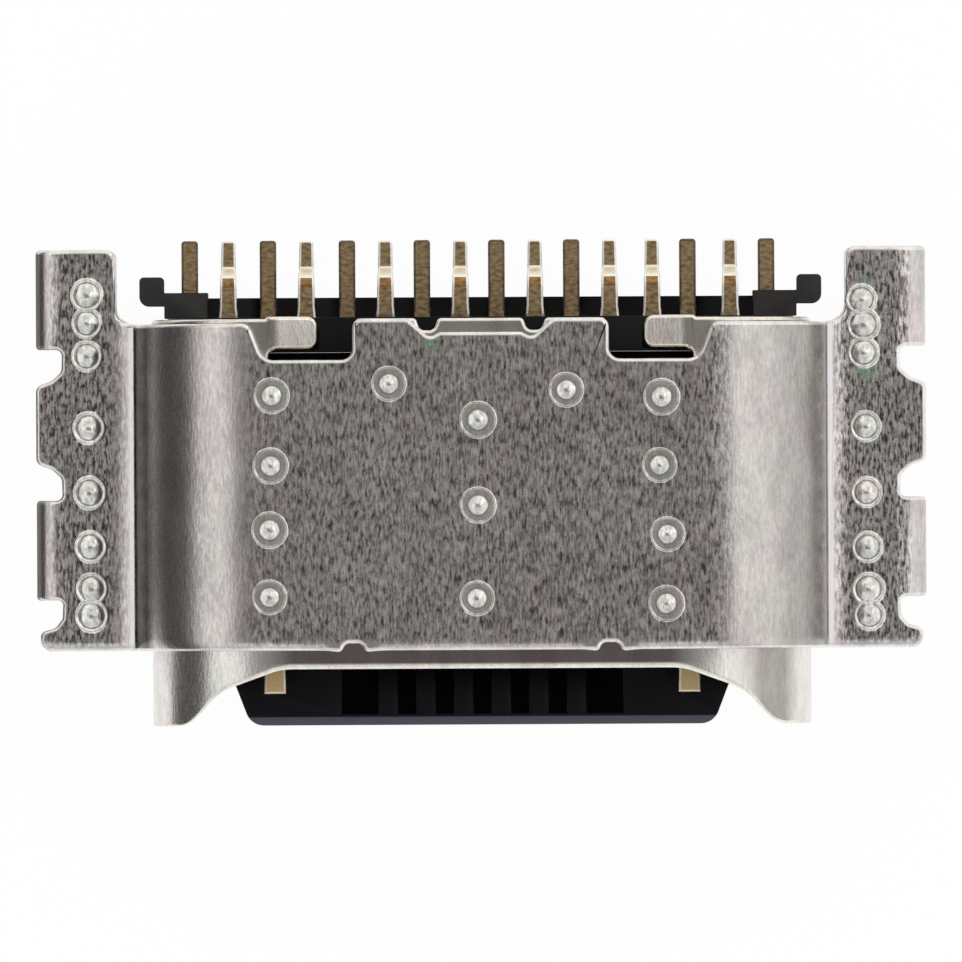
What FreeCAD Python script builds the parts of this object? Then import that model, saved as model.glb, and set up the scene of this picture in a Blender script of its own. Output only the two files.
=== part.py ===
"""A mid-mount receptacle for a small oval plug, sixteen contacts, soldered into a board cut-out.

Frame: the origin is the middle of the mouth, at the foremost edge of the shell. The mouth
faces -Y, the solder tails point to +Y, and +Z is up, away from the board. Millimetres.
"""
import FreeCAD, Part
import math
import os
import re
import Sketcher

Vector = FreeCAD.Vector

doc = FreeCAD.newDocument("receptacle")

# Driving dimensions: name, millimetres, what it is

SIZES = (
    ("opening_width", 8.34, "mouth, side to side"),
    ("opening_height", 2.56, "mouth, top to bottom"),
    ("shell_wall", 0.20, "sheet of the inner shell"),
    ("shell_length", 5.39, "inner shell, mouth to rear edge"),
    ("lip_setback", 0.75, "how far the mouth is cut back above and below the tongue"),
    ("lobe_inner", 0.27, "inner end of a side lobe of the mouth, from the inside of the wall"),
    ("steep_depth", 0.45, "depth of the outer, steep part of that cut"),
    ("steep_width", 0.40, "width of the steep part"),
    ("gentle_width", 0.84, "width of the inner, gentle part of the cut"),
    ("lip_round", 0.20, "corners between these parts"),
    ("window_inner", 1.66, "inner side of the rear windows of the shell, from the middle"),
    ("window_depth", 0.58, "rear windows of the shell, into the rear edge"),
    ("catch_width", 0.40, "width of the catch tabs in those windows"),
    ("catch_reach", 0.62, "length of the catch tabs"),
    ("catch_drop", 0.19, "how far the end of a catch tab is bent down"),
    ("catch_root", 0.09, "bend of a catch tab, inside the start of the curved side"),
    ("catch_proud", 0.03, "rear edge of a catch tab, behind that of the shell"),
    ("catch_play", 0.04, "room round a catch tab in the upper wafer"),
    ("bite_radius", 0.11, "round bites in the sheet edges"),
    ("bite_place", 0.71, "bites in the rear edge of the shell, from the middle"),
    ("sheet_gap", 0.02, "play between the inner shell and the sheets round it"),
    ("cover_wall", 0.20, "sheet of the upper cover"),
    ("cover_front", 0.98, "front edge of the cover, behind the mouth"),
    ("cover_short", 0.06, "cover side edge, in front of the rear edge of the shell"),
    ("fold_radius", 0.20, "fold between the curved side and the flange"),
    ("notch_outer", 2.93, "rear notches of the cover, outer side from the middle"),
    ("notch_inner", 1.70, "rear notches of the cover, inner side from the middle"),
    ("notch_depth", 0.545, "rear notches of the cover, from the rear edge of the shell"),
    ("notch_round", 0.12, "corners of those notches"),
    ("bridge_inset", 0.185, "middle of the cover's rear edge, from that of the shell"),
    ("bridge_half", 0.55, "half the width of that middle part"),
    ("hump_inner", 0.96, "inner side of the two humps beside it, from the middle"),
    ("span", 11.82, "overall width across the legs"),
    ("leg_bend", 0.31, "outer radius of the bend into a leg"),
    ("leg_width", 1.33, "a leg, front to back"),
    ("leg_below", 1.05, "how far a leg reaches below the board face"),
    ("leg_taper", 0.22, "slanted corners of the leg tips, along the edge of the sheet"),
    ("leg_front", 0.69, "front edge of the front leg, behind the front edge of the cover"),
    ("wing_inner", 4.86, "inner edge of the wings behind the body, from the middle"),
    ("wing_tail", 0.94, "how far the wings reach behind the shell"),
    ("wing_round", 0.24, "inner corner between wing and body"),
    ("relief", 0.45, "notch between a leg and the middle lobe, along the edge"),
    ("relief_flat", 0.19, "straight bottom of that notch"),
    ("relief_round", 0.12, "inner corner of that notch"),
    ("front_relief", 0.37, "notch between the front leg and the front lobe, along the edge"),
    ("front_flat", 0.30, "straight bottom of that notch"),
    ("front_round", 0.12, "corners of that notch"),
    ("relief_depth", 0.34, "that notch, from the outer face of the legs"),
    ("lobe_inset", 0.05, "front lobe of a wing, inside the outer face of the legs"),
    ("lobe_round", 0.20, "front corner of that lobe"),
    ("roof_nugget", 0.46, "a weld spot on the roof, across"),
    ("wing_nugget", 0.34, "a weld spot on a wing, across"),
    ("weld_rise", 0.02, "height of the weld spots above the sheet"),
    ("weld_shift", -0.05, "all weld spots sit this far to the side"),
    ("weld_left", 0.18, "left column of spots on the roof, inside the start of the curved side"),
    ("weld_right", 0.45, "right column, inside the start of the curved side"),
    ("weld_front", 0.72, "first spots on the roof, behind the front edge"),
    ("weld_rear", 0.95, "last spots of those columns, in front of the rear edge"),
    ("weld_row", 0.89, "from the first to the second spot of those columns, and for the last two"),
    ("weld_middle", 1.43, "second spot of the middle column, in front of the last of the others"),
    ("weld_pair", 1.17, "the pair of spots beside the middle column, from it"),
    ("wing_weld", 0.07, "line of weld spots on a wing, inside the middle of the flat"),
    ("bracket_wall", 0.20, "sheet of the lower bracket"),
    ("bracket_inset", 0.12, "bracket edges, inside the edges of the cover"),
    ("tongue_width", 6.69, "tongue, side to side"),
    ("tongue_thickness", 0.70, "tongue, top to bottom"),
    ("tongue_lip", 0.147, "plain lip in front of the pockets of the tongue"),
    ("tongue_chamfer", 0.11, "chamfer of that lip, above and below"),
    ("tongue_taper", 0.275, "how far the tongue narrows at its tip, each side"),
    ("taper_length", 0.72, "over what length it narrows"),
    ("tongue_round", 0.25, "corners of the tip of the tongue"),
    ("pocket_depth", 0.12, "pockets between the contacts"),
    ("pocket_length", 1.10, "pockets, front to back"),
    ("step_width", 7.10, "thick root of the tongue, side to side"),
    ("step_height", 1.50, "thick root of the tongue, top to bottom"),
    ("step_length", 0.90, "thick root of the tongue, front to back"),
    ("wall_length", 0.47, "rear wall inside the shell, front to back"),
    ("wall_proud", 0.02, "rear wall, behind the rear edge of the shell"),
    ("moulding_gap", 0.02, "play between the mouldings and the inner shell"),
    ("pitch", 0.50, "contacts on the tongue"),
    ("contact_width", 0.25, "a contact on the tongue"),
    ("contact_sheet", 0.15, "sheet of the contacts"),
    ("ground_width", 0.30, "the outermost contacts on the tongue"),
    ("ground_tip", 0.407, "tips of the outermost contacts, behind the tip of the tongue"),
    ("signal_tip", 0.95, "tips of the other contacts, behind the tip of the tongue"),
    ("tail_width", 0.21, "a straight solder tail"),
    ("stepped_width", 0.17, "a stepped solder tail"),
    ("tail_root", 0.28, "a solder tail where it leaves the wall"),
    ("tail_neck", 0.12, "length over which a tail narrows behind its root"),
    ("tail_round", 0.06, "corners of the tips of the tails"),
    ("tail_reach", 1.05, "tips of the tails, behind the rear edge of the shell"),
    ("tail_bend", 0.12, "middle radius of the two bends of a stepped tail"),
    ("tail_slope", 80, "slope between those bends, in degrees"),
    ("tail_foot", 0.34, "flat foot of a stepped tail"),
    ("plate_sheet", 0.10, "shield plate inside the tongue, and the two ground plates"),
    ("plate_inset", 0.14, "shield plate, behind the tip of the tongue"),
    ("latch_front", 1.00, "where the edges of the shield plate come out of the tongue's sides"),
    ("latch_recess", 0.25, "front part of the shield plate, inside those edges"),
    ("ground_inset", 0.15, "ground plates, inside the sides of the thick root"),
    ("ground_length", 0.60, "ground plates, front to back on the thick root"),
    ("ledge_length", 0.27, "ledge under the tails, front to back"),
    ("ledge_height", 0.70, "ledge, top to bottom"),
    ("ledge_drop", 0.03, "top of the ledge, below the board face"),
    ("block_length", 0.34, "end blocks of the ledge, front to back"),
    ("block_width", 0.58, "end blocks, side to side"),
    ("block_outer", 4.20, "outer side of the end blocks, from the middle"),
    ("ear_width", 0.33, "ears beside the end blocks, side to side"),
    ("ear_length", 0.39, "ears, front to back"),
    ("ear_place", 0.18, "front of the ears, behind the rear edge of the shell"),
    ("ear_rise", 0.35, "height of the ears and end blocks above the board face"),
    ("ear_neck", 0.20, "neck between an end block and its ear, front to back"),
    ("ear_round", 0.13, "front outer corner of an ear"),
    ("ear_soft", 0.06, "rear corners of an ear"),
)

sheet = doc.addObject("Spreadsheet::Sheet", "sizes")
for line, (alias, value, remark) in enumerate(SIZES, start=1):
    sheet.set(f"A{line}", remark)
    sheet.set(f"B{line}", str(value))
    sheet.setAlias(f"B{line}", alias)
doc.recompute()

ALIASES = re.compile(r"\b(" + "|".join(alias for alias, value, remark in SIZES) + r")\b")


def bound(formula):
    """The formula as another object of the document reads it."""
    return ALIASES.sub(r"sizes.\1", formula)


def number(formula):
    """What the formula comes to now."""
    return float(sheet.evalExpression(formula))


# Places that several pieces share, as formulas of the driving dimensions

BEND_CENTRE = "(opening_width / 2 - opening_height / 2)"
SHELL_INNER = "(opening_height / 2)"
SHELL_OUTER = f"({SHELL_INNER} + shell_wall)"
COVER_INNER = f"({SHELL_OUTER} + sheet_gap)"
COVER_OUTER = f"({COVER_INNER} + cover_wall)"
BOARD = "(-cover_wall - bracket_wall)"
COVER_REAR = "(shell_length - cover_short)"
WING_REAR = "(shell_length + wing_tail)"
LEG_FACE = "(span / 2)"
LEG_LINE = "(span / 2 - leg_bend)"
FRONT_LEG = "(cover_front + leg_front)"
REAR_LEG = f"({WING_REAR} - leg_width)"
RELIEF_LINE = "(span / 2 - relief_depth)"
WALL_REAR = "(shell_length + wall_proud)"
WALL_FRONT = f"({WALL_REAR} - wall_length)"
STEP_FRONT = f"({WALL_FRONT} - step_length)"
TAIL_TIP = "(shell_length + tail_reach)"
HALF_TONGUE = "(tongue_thickness / 2)"
CATCH_LINE = f"({BEND_CENTRE} - catch_root)"
CATCH_REAR = "(shell_length + catch_proud)"
WAFER_RADIUS = f"({SHELL_INNER} - moulding_gap)"
OUTSIDE = f"({LEG_FACE} + 1)"
BEHIND = f"({TAIL_TIP} + 1)"


# Sketches

class Corner:
    """A corner of a closed outline. The edge after it is straight, or an arc of the radius
    left or right, whose centre lies on that hand. round is the radius of the corner."""

    def __init__(self, x, y, round=None, left=None, right=None):
        self.x, self.y = str(x), str(y)
        self.round, self.left, self.right = round, left, right
        self.place = Vector(number(self.x), number(self.y), 0)

    def mirrored(self, edge):
        """The corner on the other side of the middle, with the arc of another corner's edge."""
        return Corner(f"-({self.x})", self.y, self.round, edge.left, edge.right)


def both_sides(corners):
    """An outline from its right half, whose first and last edges cross the middle."""
    reverse = corners[::-1]
    across = Corner(0, 0)
    return corners + [corner.mirrored(edge) for corner, edge in zip(reverse, reverse[1:] + [across])]


def turned_over(corners):
    """The same outline, upside down."""
    return [Corner(c.x, f"-({c.y})", c.round, c.right, c.left) for c in corners]


def circle_arc(centre, radius, start, end):
    """Counter-clockwise from start to end."""
    first = math.atan2(start.y - centre.y, start.x - centre.x)
    last = math.atan2(end.y - centre.y, end.x - centre.x)
    if last <= first:
        last += 2 * math.pi
    return Part.ArcOfCircle(Part.Circle(centre, Vector(0, 0, 1), radius), first, last)


def edge_curve(corner, start, end):
    """The edge after a corner, as a line or an arc of its radius."""
    if not (corner.left or corner.right):
        return Part.LineSegment(start, end)
    radius = number(corner.left or corner.right)
    chord = end - start
    across = Vector(-chord.y, chord.x, 0).normalize() * (1 if corner.left else -1)
    centre = (start + end) * 0.5 + across * math.sqrt(radius ** 2 - chord.Length ** 2 / 4)
    ends = (start, end) if corner.left else (end, start)
    return circle_arc(centre, radius, *ends)


def add_outline(sketch, corners):
    """Draws the closed outline, and ties every corner and radius to its formula."""
    count = len(corners)
    starts = [corner.place for corner in corners]
    ends = starts[1:] + starts[:1]
    rounds = {}
    for place, corner in enumerate(corners):
        if corner.round:
            back = (corners[place - 1].place - corner.place).normalize()
            ahead = (corners[(place + 1) % count].place - corner.place).normalize()
            half = back.getAngle(ahead) / 2
            radius = number(corner.round)
            centre = corner.place + (back + ahead).normalize() * (radius / math.sin(half))
            touch = radius / math.tan(half)
            ends[place - 1] = corner.place + back * touch
            starts[place] = corner.place + ahead * touch
            rounds[place] = (centre, radius, back.cross(ahead).z < 0)
    edges = [sketch.addGeometry(edge_curve(*edge), False) for edge in zip(corners, starts, ends)]
    ties = []

    def tie(formula, kind, *where):
        ties.append((formula, Sketcher.Constraint(kind, *where, number(formula))))

    for place, corner in enumerate(corners):
        edge, before = edges[place], edges[place - 1]
        edge_start = 2 if corner.right else 1
        before_end = 1 if corners[place - 1].right else 2
        if corner.left or corner.right:
            tie(corner.left or corner.right, "Radius", edge)
        if place not in rounds:
            ties.append((None, Sketcher.Constraint("Coincident", before, before_end, edge, edge_start)))
            tie(corner.x, "DistanceX", -1, 1, edge, edge_start)
            tie(corner.y, "DistanceY", -1, 1, edge, edge_start)
            continue
        centre, radius, left_turn = rounds[place]
        touches = (ends[place - 1], starts[place])
        curve = circle_arc(centre, radius, *(touches if left_turn else touches[::-1]))
        arc = sketch.addGeometry(curve, False)
        peak = sketch.addGeometry(Part.Point(corner.place), True)
        arc_ends = (1, 2) if left_turn else (2, 1)
        ties.append((None, Sketcher.Constraint("Tangent", before, before_end, arc, arc_ends[0])))
        ties.append((None, Sketcher.Constraint("Tangent", edge, edge_start, arc, arc_ends[1])))
        ties.append((None, Sketcher.Constraint("PointOnObject", peak, 1, before)))
        ties.append((None, Sketcher.Constraint("PointOnObject", peak, 1, edge)))
        tie(corner.round, "Radius", arc)
        tie(corner.x, "DistanceX", -1, 1, peak, 1)
        tie(corner.y, "DistanceY", -1, 1, peak, 1)
    add_ties(sketch, ties)


def add_ties(sketch, ties):
    """Adds constraints, each with the formula that drives it."""
    first = sketch.ConstraintCount
    sketch.addConstraint([constraint for formula, constraint in ties])
    for place, (formula, constraint) in enumerate(ties, start=first):
        if formula:
            sketch.setExpression(f"Constraints[{place}]", bound(formula))


def add_circles(sketch, places, diameter):
    """Draws a circle round each place, a pair of formulas."""
    ties = []
    for x, y in places:
        centre = Vector(number(x), number(y), 0)
        ring = sketch.addGeometry(Part.Circle(centre, Vector(0, 0, 1), number(diameter) / 2), False)
        for formula, kind, where in ((x, "DistanceX", (-1, 1, ring, 3)), (y, "DistanceY", (-1, 1, ring, 3)),
                                     (f"{diameter} / 2", "Radius", (ring,))):
            ties.append((formula, Sketcher.Constraint(kind, *where, number(formula))))
    add_ties(sketch, ties)


# Features

def new_body(label):
    body = doc.addObject("PartDesign::Body", label)
    body.Label = label
    return body


def new_sketch(body, plane, label, offset="0"):
    """A sketch on an origin plane of the body, moved along the plane's normal."""
    role = {"plan": "XY_Plane", "section": "XZ_Plane", "side": "YZ_Plane"}[plane]
    sketch = body.newObject("Sketcher::SketchObject", label)
    sketch.AttachmentSupport = [(next(o for o in body.Origin.OriginFeatures if o.Role == role), "")]
    sketch.MapMode = "FlatFace"
    sketch.setExpression("AttachmentOffset.Base.z", bound(offset))
    return sketch


def outline(body, plane, label, *loops, offset="0"):
    sketch = new_sketch(body, plane, label, offset)
    for loop in loops:
        add_outline(sketch, loop)
    return sketch


def pad(body, sketch, length, reverse=False, middle=False):
    feature = body.newObject("PartDesign::Pad", f"{sketch.Label}_pad")
    feature.Profile = sketch
    feature.setExpression("Length", bound(length))
    feature.Reversed = reverse
    feature.SideType = "Symmetric" if middle else "One side"
    sketch.Visibility = False
    return feature


def section_pad(body, label, start, end, *loops):
    """Pads an outline in the X-Z plane along Y, from start to end."""
    sketch = outline(body, "section", label, *loops, offset=f"-({start})")
    return pad(body, sketch, f"{end} - ({start})", reverse=True)


def plan_pad(body, label, low, high, *loops):
    """Pads an outline in the X-Y plane along Z, from low to high."""
    return pad(body, outline(body, "plan", label, *loops, offset=low), f"{high} - ({low})")


def pocket(body, sketch, upward=None):
    """Cuts right through both ways, or only upwards, and checks that it cuts."""
    doc.recompute()
    before = body.Shape.Volume
    feature = body.newObject("PartDesign::Pocket", f"{sketch.Label}_cut")
    feature.Profile = sketch
    feature.Type = "ThroughAll"
    feature.SideType = "One side" if upward else "Symmetric"
    feature.Reversed = bool(upward)
    doc.recompute()
    if not feature.Shape.Volume < before:
        raise ValueError(f"{sketch.Label} cuts nothing")
    return feature


def mirror(body, features, plane="YZ_Plane"):
    """Repeats features on the other side of an origin plane."""
    feature = body.newObject("PartDesign::Mirrored", f"{features[-1].Label}_mirror")
    feature.Originals = features
    feature.MirrorPlane = (next(o for o in body.Origin.OriginFeatures if o.Role == plane), [""])
    body.Tip = feature
    doc.recompute()
    return feature


def upright_edges(shape, places):
    """Names of the edges along Z that stand at the places, on either side of the middle."""
    wanted = [(side * number(x), number(y)) for x, y in places for side in (-1, 1)]
    names = []
    for index, edge in enumerate(shape.Edges, start=1):
        ends = [vertex.Point for vertex in edge.Vertexes]
        upright = len(ends) == 2 and math.hypot(ends[0].x - ends[1].x, ends[0].y - ends[1].y) < 0.1
        if upright and any(math.hypot(ends[0].x - x, ends[0].y - y) < 0.01 for x, y in wanted):
            names.append(f"Edge{index}")
    return names


def round_corners(body, places, radius):
    """Rounds the upright edges at the places."""
    doc.recompute()
    base = body.Tip
    feature = body.newObject("PartDesign::Fillet", f"{body.Label}_round")
    feature.Base = (base, upright_edges(base.Shape, places))
    feature.setExpression("Radius", bound(radius))
    doc.recompute()
    return feature


def stamped(label, side, plan, reach):
    """A piece given by its side view, as wide as twice the reach, and cut to its plan."""
    body = new_body(label)
    pad(body, outline(body, "side", f"{label}_side", side), f"2 * {reach}", middle=True)
    frame = rectangle(f"-({reach}) - 1", f"{reach} + 1", "-1", BEHIND)
    pocket(body, outline(body, "plan", f"{label}_plan", frame, plan))
    return body


def rectangle(left, right, front, back, round=None):
    return [Corner(left, front, round), Corner(right, front, round),
            Corner(right, back, round), Corner(left, back, round)]


# Inner shell: one drawn tube with two rear windows, a catch tab in each

def make_inner_shell():
    body = new_body("inner_shell")
    loops = []
    for radius in (SHELL_OUTER, SHELL_INNER):
        loops.append(both_sides([Corner(BEND_CENTRE, radius, right=radius),
                                 Corner(f"{BEND_CENTRE} + {radius}", 0, right=radius),
                                 Corner(BEND_CENTRE, f"-{radius}")]))
    section_pad(body, "shell_section", "0", "shell_length", *loops)

    lobe = "(opening_width / 2 - lobe_inner)"
    steep = f"({lobe} - steep_width)"
    mouth = both_sides([Corner(OUTSIDE, -1), Corner(OUTSIDE, 0), Corner(lobe, 0, "lip_round"),
                        Corner(steep, "steep_depth", "lip_round"),
                        Corner(f"{steep} - gentle_width", "lip_setback", "lip_round")])
    pocket(body, outline(body, "plan", "mouth_lip", mouth))

    bite_outer, bite_inner = "bite_place + bite_radius", "bite_place - bite_radius"
    bite_side = "shell_length - bite_radius / 2"
    bite = [Corner(bite_outer, "shell_length + 1"), Corner(bite_outer, bite_side, right="bite_radius"),
            Corner("bite_place", f"{bite_side} - bite_radius", right="bite_radius"),
            Corner(bite_inner, bite_side), Corner(bite_inner, "shell_length + 1")]
    window_front = "(shell_length - window_depth)"
    window = rectangle("window_inner", BEND_CENTRE, window_front, "shell_length + 1", "notch_round")
    rear = pocket(body, outline(body, "plan", "shell_rear", bite, window), upward=True)
    root, end = f"{BEND_CENTRE} + shell_wall / 4", f"{CATCH_LINE} - catch_reach"
    catch = [Corner(root, SHELL_OUTER), Corner(root, SHELL_INNER), Corner(CATCH_LINE, SHELL_INNER),
             Corner(end, f"{SHELL_INNER} - catch_drop"), Corner(end, f"{SHELL_OUTER} - catch_drop"),
             Corner(CATCH_LINE, SHELL_OUTER)]
    tab = section_pad(body, "catch_section", f"{CATCH_REAR} - catch_width", CATCH_REAR, catch)
    mirror(body, [rear, tab])
    round_corners(body, [(end, CATCH_REAR), (end, f"{CATCH_REAR} - catch_width")], "notch_round")
    return body


# Upper cover and lower bracket: two folded sheets, flange on flange

def hat_section(inner, wall, level, reach):
    """Section of a folded sheet: flat roof, round shoulders, and flanges whose outer face
    lies at the level."""
    outer = f"({inner} + {wall})"
    fold_rise = f"({level} + fold_radius)"
    centres = f"({outer} + fold_radius)"
    run = f"sqrt({centres} ^ 2 - {fold_rise} ^ 2)"
    fold_centre = f"{BEND_CENTRE} + {run}"
    half = [Corner(BEND_CENTRE, outer, right=outer),
            Corner(f"{BEND_CENTRE} + {outer} * {run} / {centres}", f"{outer} * {fold_rise} / {centres}",
                   left="fold_radius"),
            Corner(fold_centre, level),
            Corner(reach, level),
            Corner(reach, f"{level} - {wall}"),
            Corner(fold_centre, f"{level} - {wall}", right=f"(fold_radius + {wall})"),
            Corner(f"{BEND_CENTRE} + {inner} * {run} / {centres}", f"{inner} * {fold_rise} / {centres}",
                   left=inner),
            Corner(BEND_CENTRE, inner)]
    return both_sides(half)


def leg_relief(label, body, front, rear, notch, behind=True):
    """Cuts the flange back beside a leg, with a notch in front of it, given by its length, flat
    and round, and with the notch to the middle lobe behind it."""
    length, flat, round = notch
    edge = f"({front} - {length})"
    corners = [Corner(OUTSIDE, edge), Corner(LEG_FACE, edge, round),
               Corner(RELIEF_LINE, f"{front} - {flat}", round),
               Corner(RELIEF_LINE, front), Corner(LEG_LINE, front), Corner(LEG_LINE, rear)]
    if behind:
        edge = f"({rear} + relief)"
        corners += [Corner(RELIEF_LINE, rear), Corner(RELIEF_LINE, f"{rear} + relief_flat", "relief_round"),
                    Corner(LEG_FACE, edge, "relief_round / 3"), Corner(OUTSIDE, edge)]
    else:
        corners += [Corner(LEG_LINE, BEHIND), Corner(OUTSIDE, BEHIND)]
    return pocket(body, outline(body, "plan", label, corners))


def leg_section():
    """A flange bent down into a leg."""
    inner = "(leg_bend - cover_wall)"
    tip = f"({BOARD} - leg_below)"
    return [Corner(RELIEF_LINE, 0), Corner(LEG_LINE, 0, right="leg_bend"),
            Corner(LEG_FACE, "-leg_bend"), Corner(LEG_FACE, tip),
            Corner(f"{LEG_FACE} - cover_wall", tip),
            Corner(f"{LEG_FACE} - cover_wall", "-leg_bend", left=inner),
            Corner(LEG_LINE, "-cover_wall"), Corner(RELIEF_LINE, "-cover_wall")]


def leg_tips():
    """What is cut away, seen from the side, so that each leg narrows towards its tip."""
    tip = f"({BOARD} - leg_below)"
    slants = []
    for front in (FRONT_LEG, REAR_LEG):
        for edge, hand in ((front, "+"), (f"({front} + leg_width)", "-")):
            slants.append([Corner(edge, tip), Corner(f"{edge} {hand} leg_taper", tip),
                           Corner(edge, f"{tip} + 2 * leg_taper")])
    return slants


def cover_rear():
    """Right half of what is cut away behind the cover: between the wings, the notch over a
    catch tab, the hump beside it and half of the middle bridge."""
    notch_front = "(shell_length - notch_depth)"
    bridge = "(shell_length - bridge_inset)"
    dip = "(bridge_half + hump_inner) / 2 - bite_radius"
    return [Corner(0, BEHIND), Corner("wing_inner", BEHIND),
            Corner("wing_inner", COVER_REAR, "wing_round"),
            Corner("notch_outer + notch_round", COVER_REAR, "notch_round"),
            Corner("notch_outer - notch_round / 2", notch_front, "notch_round"),
            Corner("notch_inner", notch_front, "notch_round"),
            Corner("notch_inner", "shell_length", "notch_round"),
            Corner("hump_inner", "shell_length", "bite_radius"),
            Corner(dip, f"{bridge} - 1.5 * bite_radius", "bite_radius / 2"),
            Corner("bridge_half", bridge), Corner(0, bridge)]


def top_welds():
    """Places of the weld spots on the roof: four in a column at either side, three in the
    middle and a pair between them at the rear."""
    left = f"(weld_shift - {BEND_CENTRE} + weld_left)"
    right = f"({BEND_CENTRE} - weld_right)"
    first, last = "(cover_front + weld_front)", f"({COVER_REAR} - weld_rear)"
    rows = (first, f"({first} + weld_row)", f"({last} - weld_row)", last)
    middle_rows = (first, f"({last} - weld_middle)", f"({last} - weld_row / 3)")
    pair = [(f"weld_shift + {hand}weld_pair", f"{last} + weld_row / 7") for hand in ("", "-")]
    return ([(left, row) for row in rows] + [(right, row) for row in rows]
            + [("weld_shift", row) for row in middle_rows] + pair)


# Spots on a wing, as parts of its length: four from the front edge, four from the rear one.
FRONT_SPOTS = (0.088, 0.153, 0.258, 0.392)
REAR_SPOTS = (0.445, 0.264, 0.187, 0.123)


def wing_welds():
    """Places of the weld spots on both wings, from front to rear."""
    length = f"({WING_REAR} - cover_front)"
    rows = [f"(cover_front + {part} * {length})" for part in FRONT_SPOTS]
    rows += [f"({WING_REAR} - {part} * {length})" for part in REAR_SPOTS]
    line = f"((wing_inner + {LEG_LINE}) / 2 - wing_weld)"
    return [(f"weld_shift + {side} {line}", row) for side in ("", "-") for row in rows]


def add_welds(body, label, face, places, diameter):
    """A low round nugget at each place, rooted a little in the face."""
    sketch = new_sketch(body, "plan", label, f"{face} - weld_rise")
    add_circles(sketch, places, diameter)
    pad(body, sketch, "2 * weld_rise")


def make_upper_cover():
    body = new_body("upper_cover")
    section_pad(body, "cover_section", "cover_front", WING_REAR,
                hat_section(COVER_INNER, "cover_wall", "0", LEG_FACE))
    rear = pocket(body, outline(body, "plan", "cover_rear", cover_rear()))
    front_leg_rear = f"({FRONT_LEG} + leg_width)"
    rear_leg_rear = f"({REAR_LEG} + leg_width)"
    front_notch = ("front_relief", "front_flat", "front_round")
    middle_notch = ("relief", "relief_flat", "relief_round")
    cuts = [rear, leg_relief("front_leg_relief", body, FRONT_LEG, front_leg_rear, front_notch),
            leg_relief("rear_leg_relief", body, REAR_LEG, rear_leg_rear, middle_notch, behind=False)]
    lobe = rectangle(f"{LEG_FACE} - lobe_inset", OUTSIDE, "0", f"{FRONT_LEG} - front_relief / 2")
    cuts.append(pocket(body, outline(body, "plan", "front_lobe", lobe)))
    bite = [Corner("notch_inner - bite_radius", 0), Corner("notch_inner + bite_radius", 0),
            Corner("notch_inner + bite_radius", "cover_front", left="bite_radius"),
            Corner("notch_inner", "cover_front + bite_radius", left="bite_radius"),
            Corner("notch_inner - bite_radius", "cover_front")]
    cuts.append(pocket(body, outline(body, "plan", "front_bite", bite)))
    cuts.append(section_pad(body, "front_leg", FRONT_LEG, front_leg_rear, leg_section()))
    cuts.append(section_pad(body, "rear_leg", REAR_LEG, rear_leg_rear, leg_section()))
    mirror(body, cuts)
    pocket(body, outline(body, "side", "leg_tips", *leg_tips()))
    round_corners(body, [(f"{LEG_FACE} - lobe_inset", "cover_front")], "lobe_round")
    round_corners(body, [("wing_inner", WING_REAR)], "notch_round")
    add_welds(body, "roof_welds", COVER_OUTER, top_welds(), "roof_nugget")
    add_welds(body, "wing_welds", "0", wing_welds(), "wing_nugget")
    return body


def make_lower_bracket():
    """The same form upside down, without legs, its flanges under those of the cover."""
    body = new_body("lower_bracket")
    level = "(cover_wall + bracket_wall)"
    rear = f"({WING_REAR} - bracket_inset)"
    reach = f"({RELIEF_LINE} - bracket_inset)"
    section_pad(body, "bracket_section", "cover_front + bracket_inset", rear,
                turned_over(hat_section(COVER_INNER, "bracket_wall", level, reach)))
    inner = "(wing_inner + bracket_inset)"
    gap = [Corner(0, BEHIND), Corner(inner, BEHIND),
           Corner(inner, f"{COVER_REAR} - bracket_inset", "wing_round"),
           Corner(0, f"{COVER_REAR} - bracket_inset")]
    mirror(body, [pocket(body, outline(body, "plan", "bracket_rear", gap))])
    return body


# Plates in and on the tongue

def make_shield_plate():
    """The plate between the two rows, whose edges come out of the sides of the tongue."""
    body = new_body("shield_plate")
    half = "(tongue_width / 2)"
    plan = both_sides([Corner(f"{half} - latch_recess", "plate_inset"),
                       Corner(f"{half} - latch_recess", "latch_front"),
                       Corner(half, "latch_front + latch_recess"),
                       Corner(half, f"{WALL_FRONT} + wall_length / 2")])
    pad(body, outline(body, "plan", "shield_plan", plan), "plate_sheet", middle=True)
    return body


def make_ground_plate(label, turn):
    """A plate on the front of the thick root of the tongue, with a lip down its front face."""
    body = new_body(label)
    face = "(step_height / 2)"
    lip = f"({HALF_TONGUE} + plate_sheet / 2)"
    back = f"{STEP_FRONT} + ground_length"
    side = [Corner(f"{STEP_FRONT} - plate_sheet", lip), Corner(STEP_FRONT, lip), Corner(STEP_FRONT, face),
            Corner(back, face), Corner(back, f"{face} + plate_sheet"),
            Corner(f"{STEP_FRONT} - plate_sheet", f"{face} + plate_sheet", round="plate_sheet / 2")]
    sketch = outline(body, "side", f"{label}_side", turn(side))
    pad(body, sketch, "step_width - 2 * ground_inset", middle=True)
    return body


# Contacts: stamped strips. The upper row steps down to the board behind the wall.

# Places from the middle, in pitches: the tails fan out, those of the two rows in turn.
TONGUE_PLACES = (-5.5, -2.5, -1.5, -0.5, 0.5, 1.5, 2.5, 5.5)
UPPER_TAILS = (-6.69, -4.62, -2.52, -0.53, 1.45, 3.43, 4.56, 6.63)
LOWER_TAILS = (-7.72, -5.64, -3.54, -1.55, 0.43, 2.42, 5.51, 7.60)
JOG_START = f"({STEP_FRONT} + plate_sheet)"
JOG_END = f"({WALL_REAR} - tail_neck)"


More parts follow.
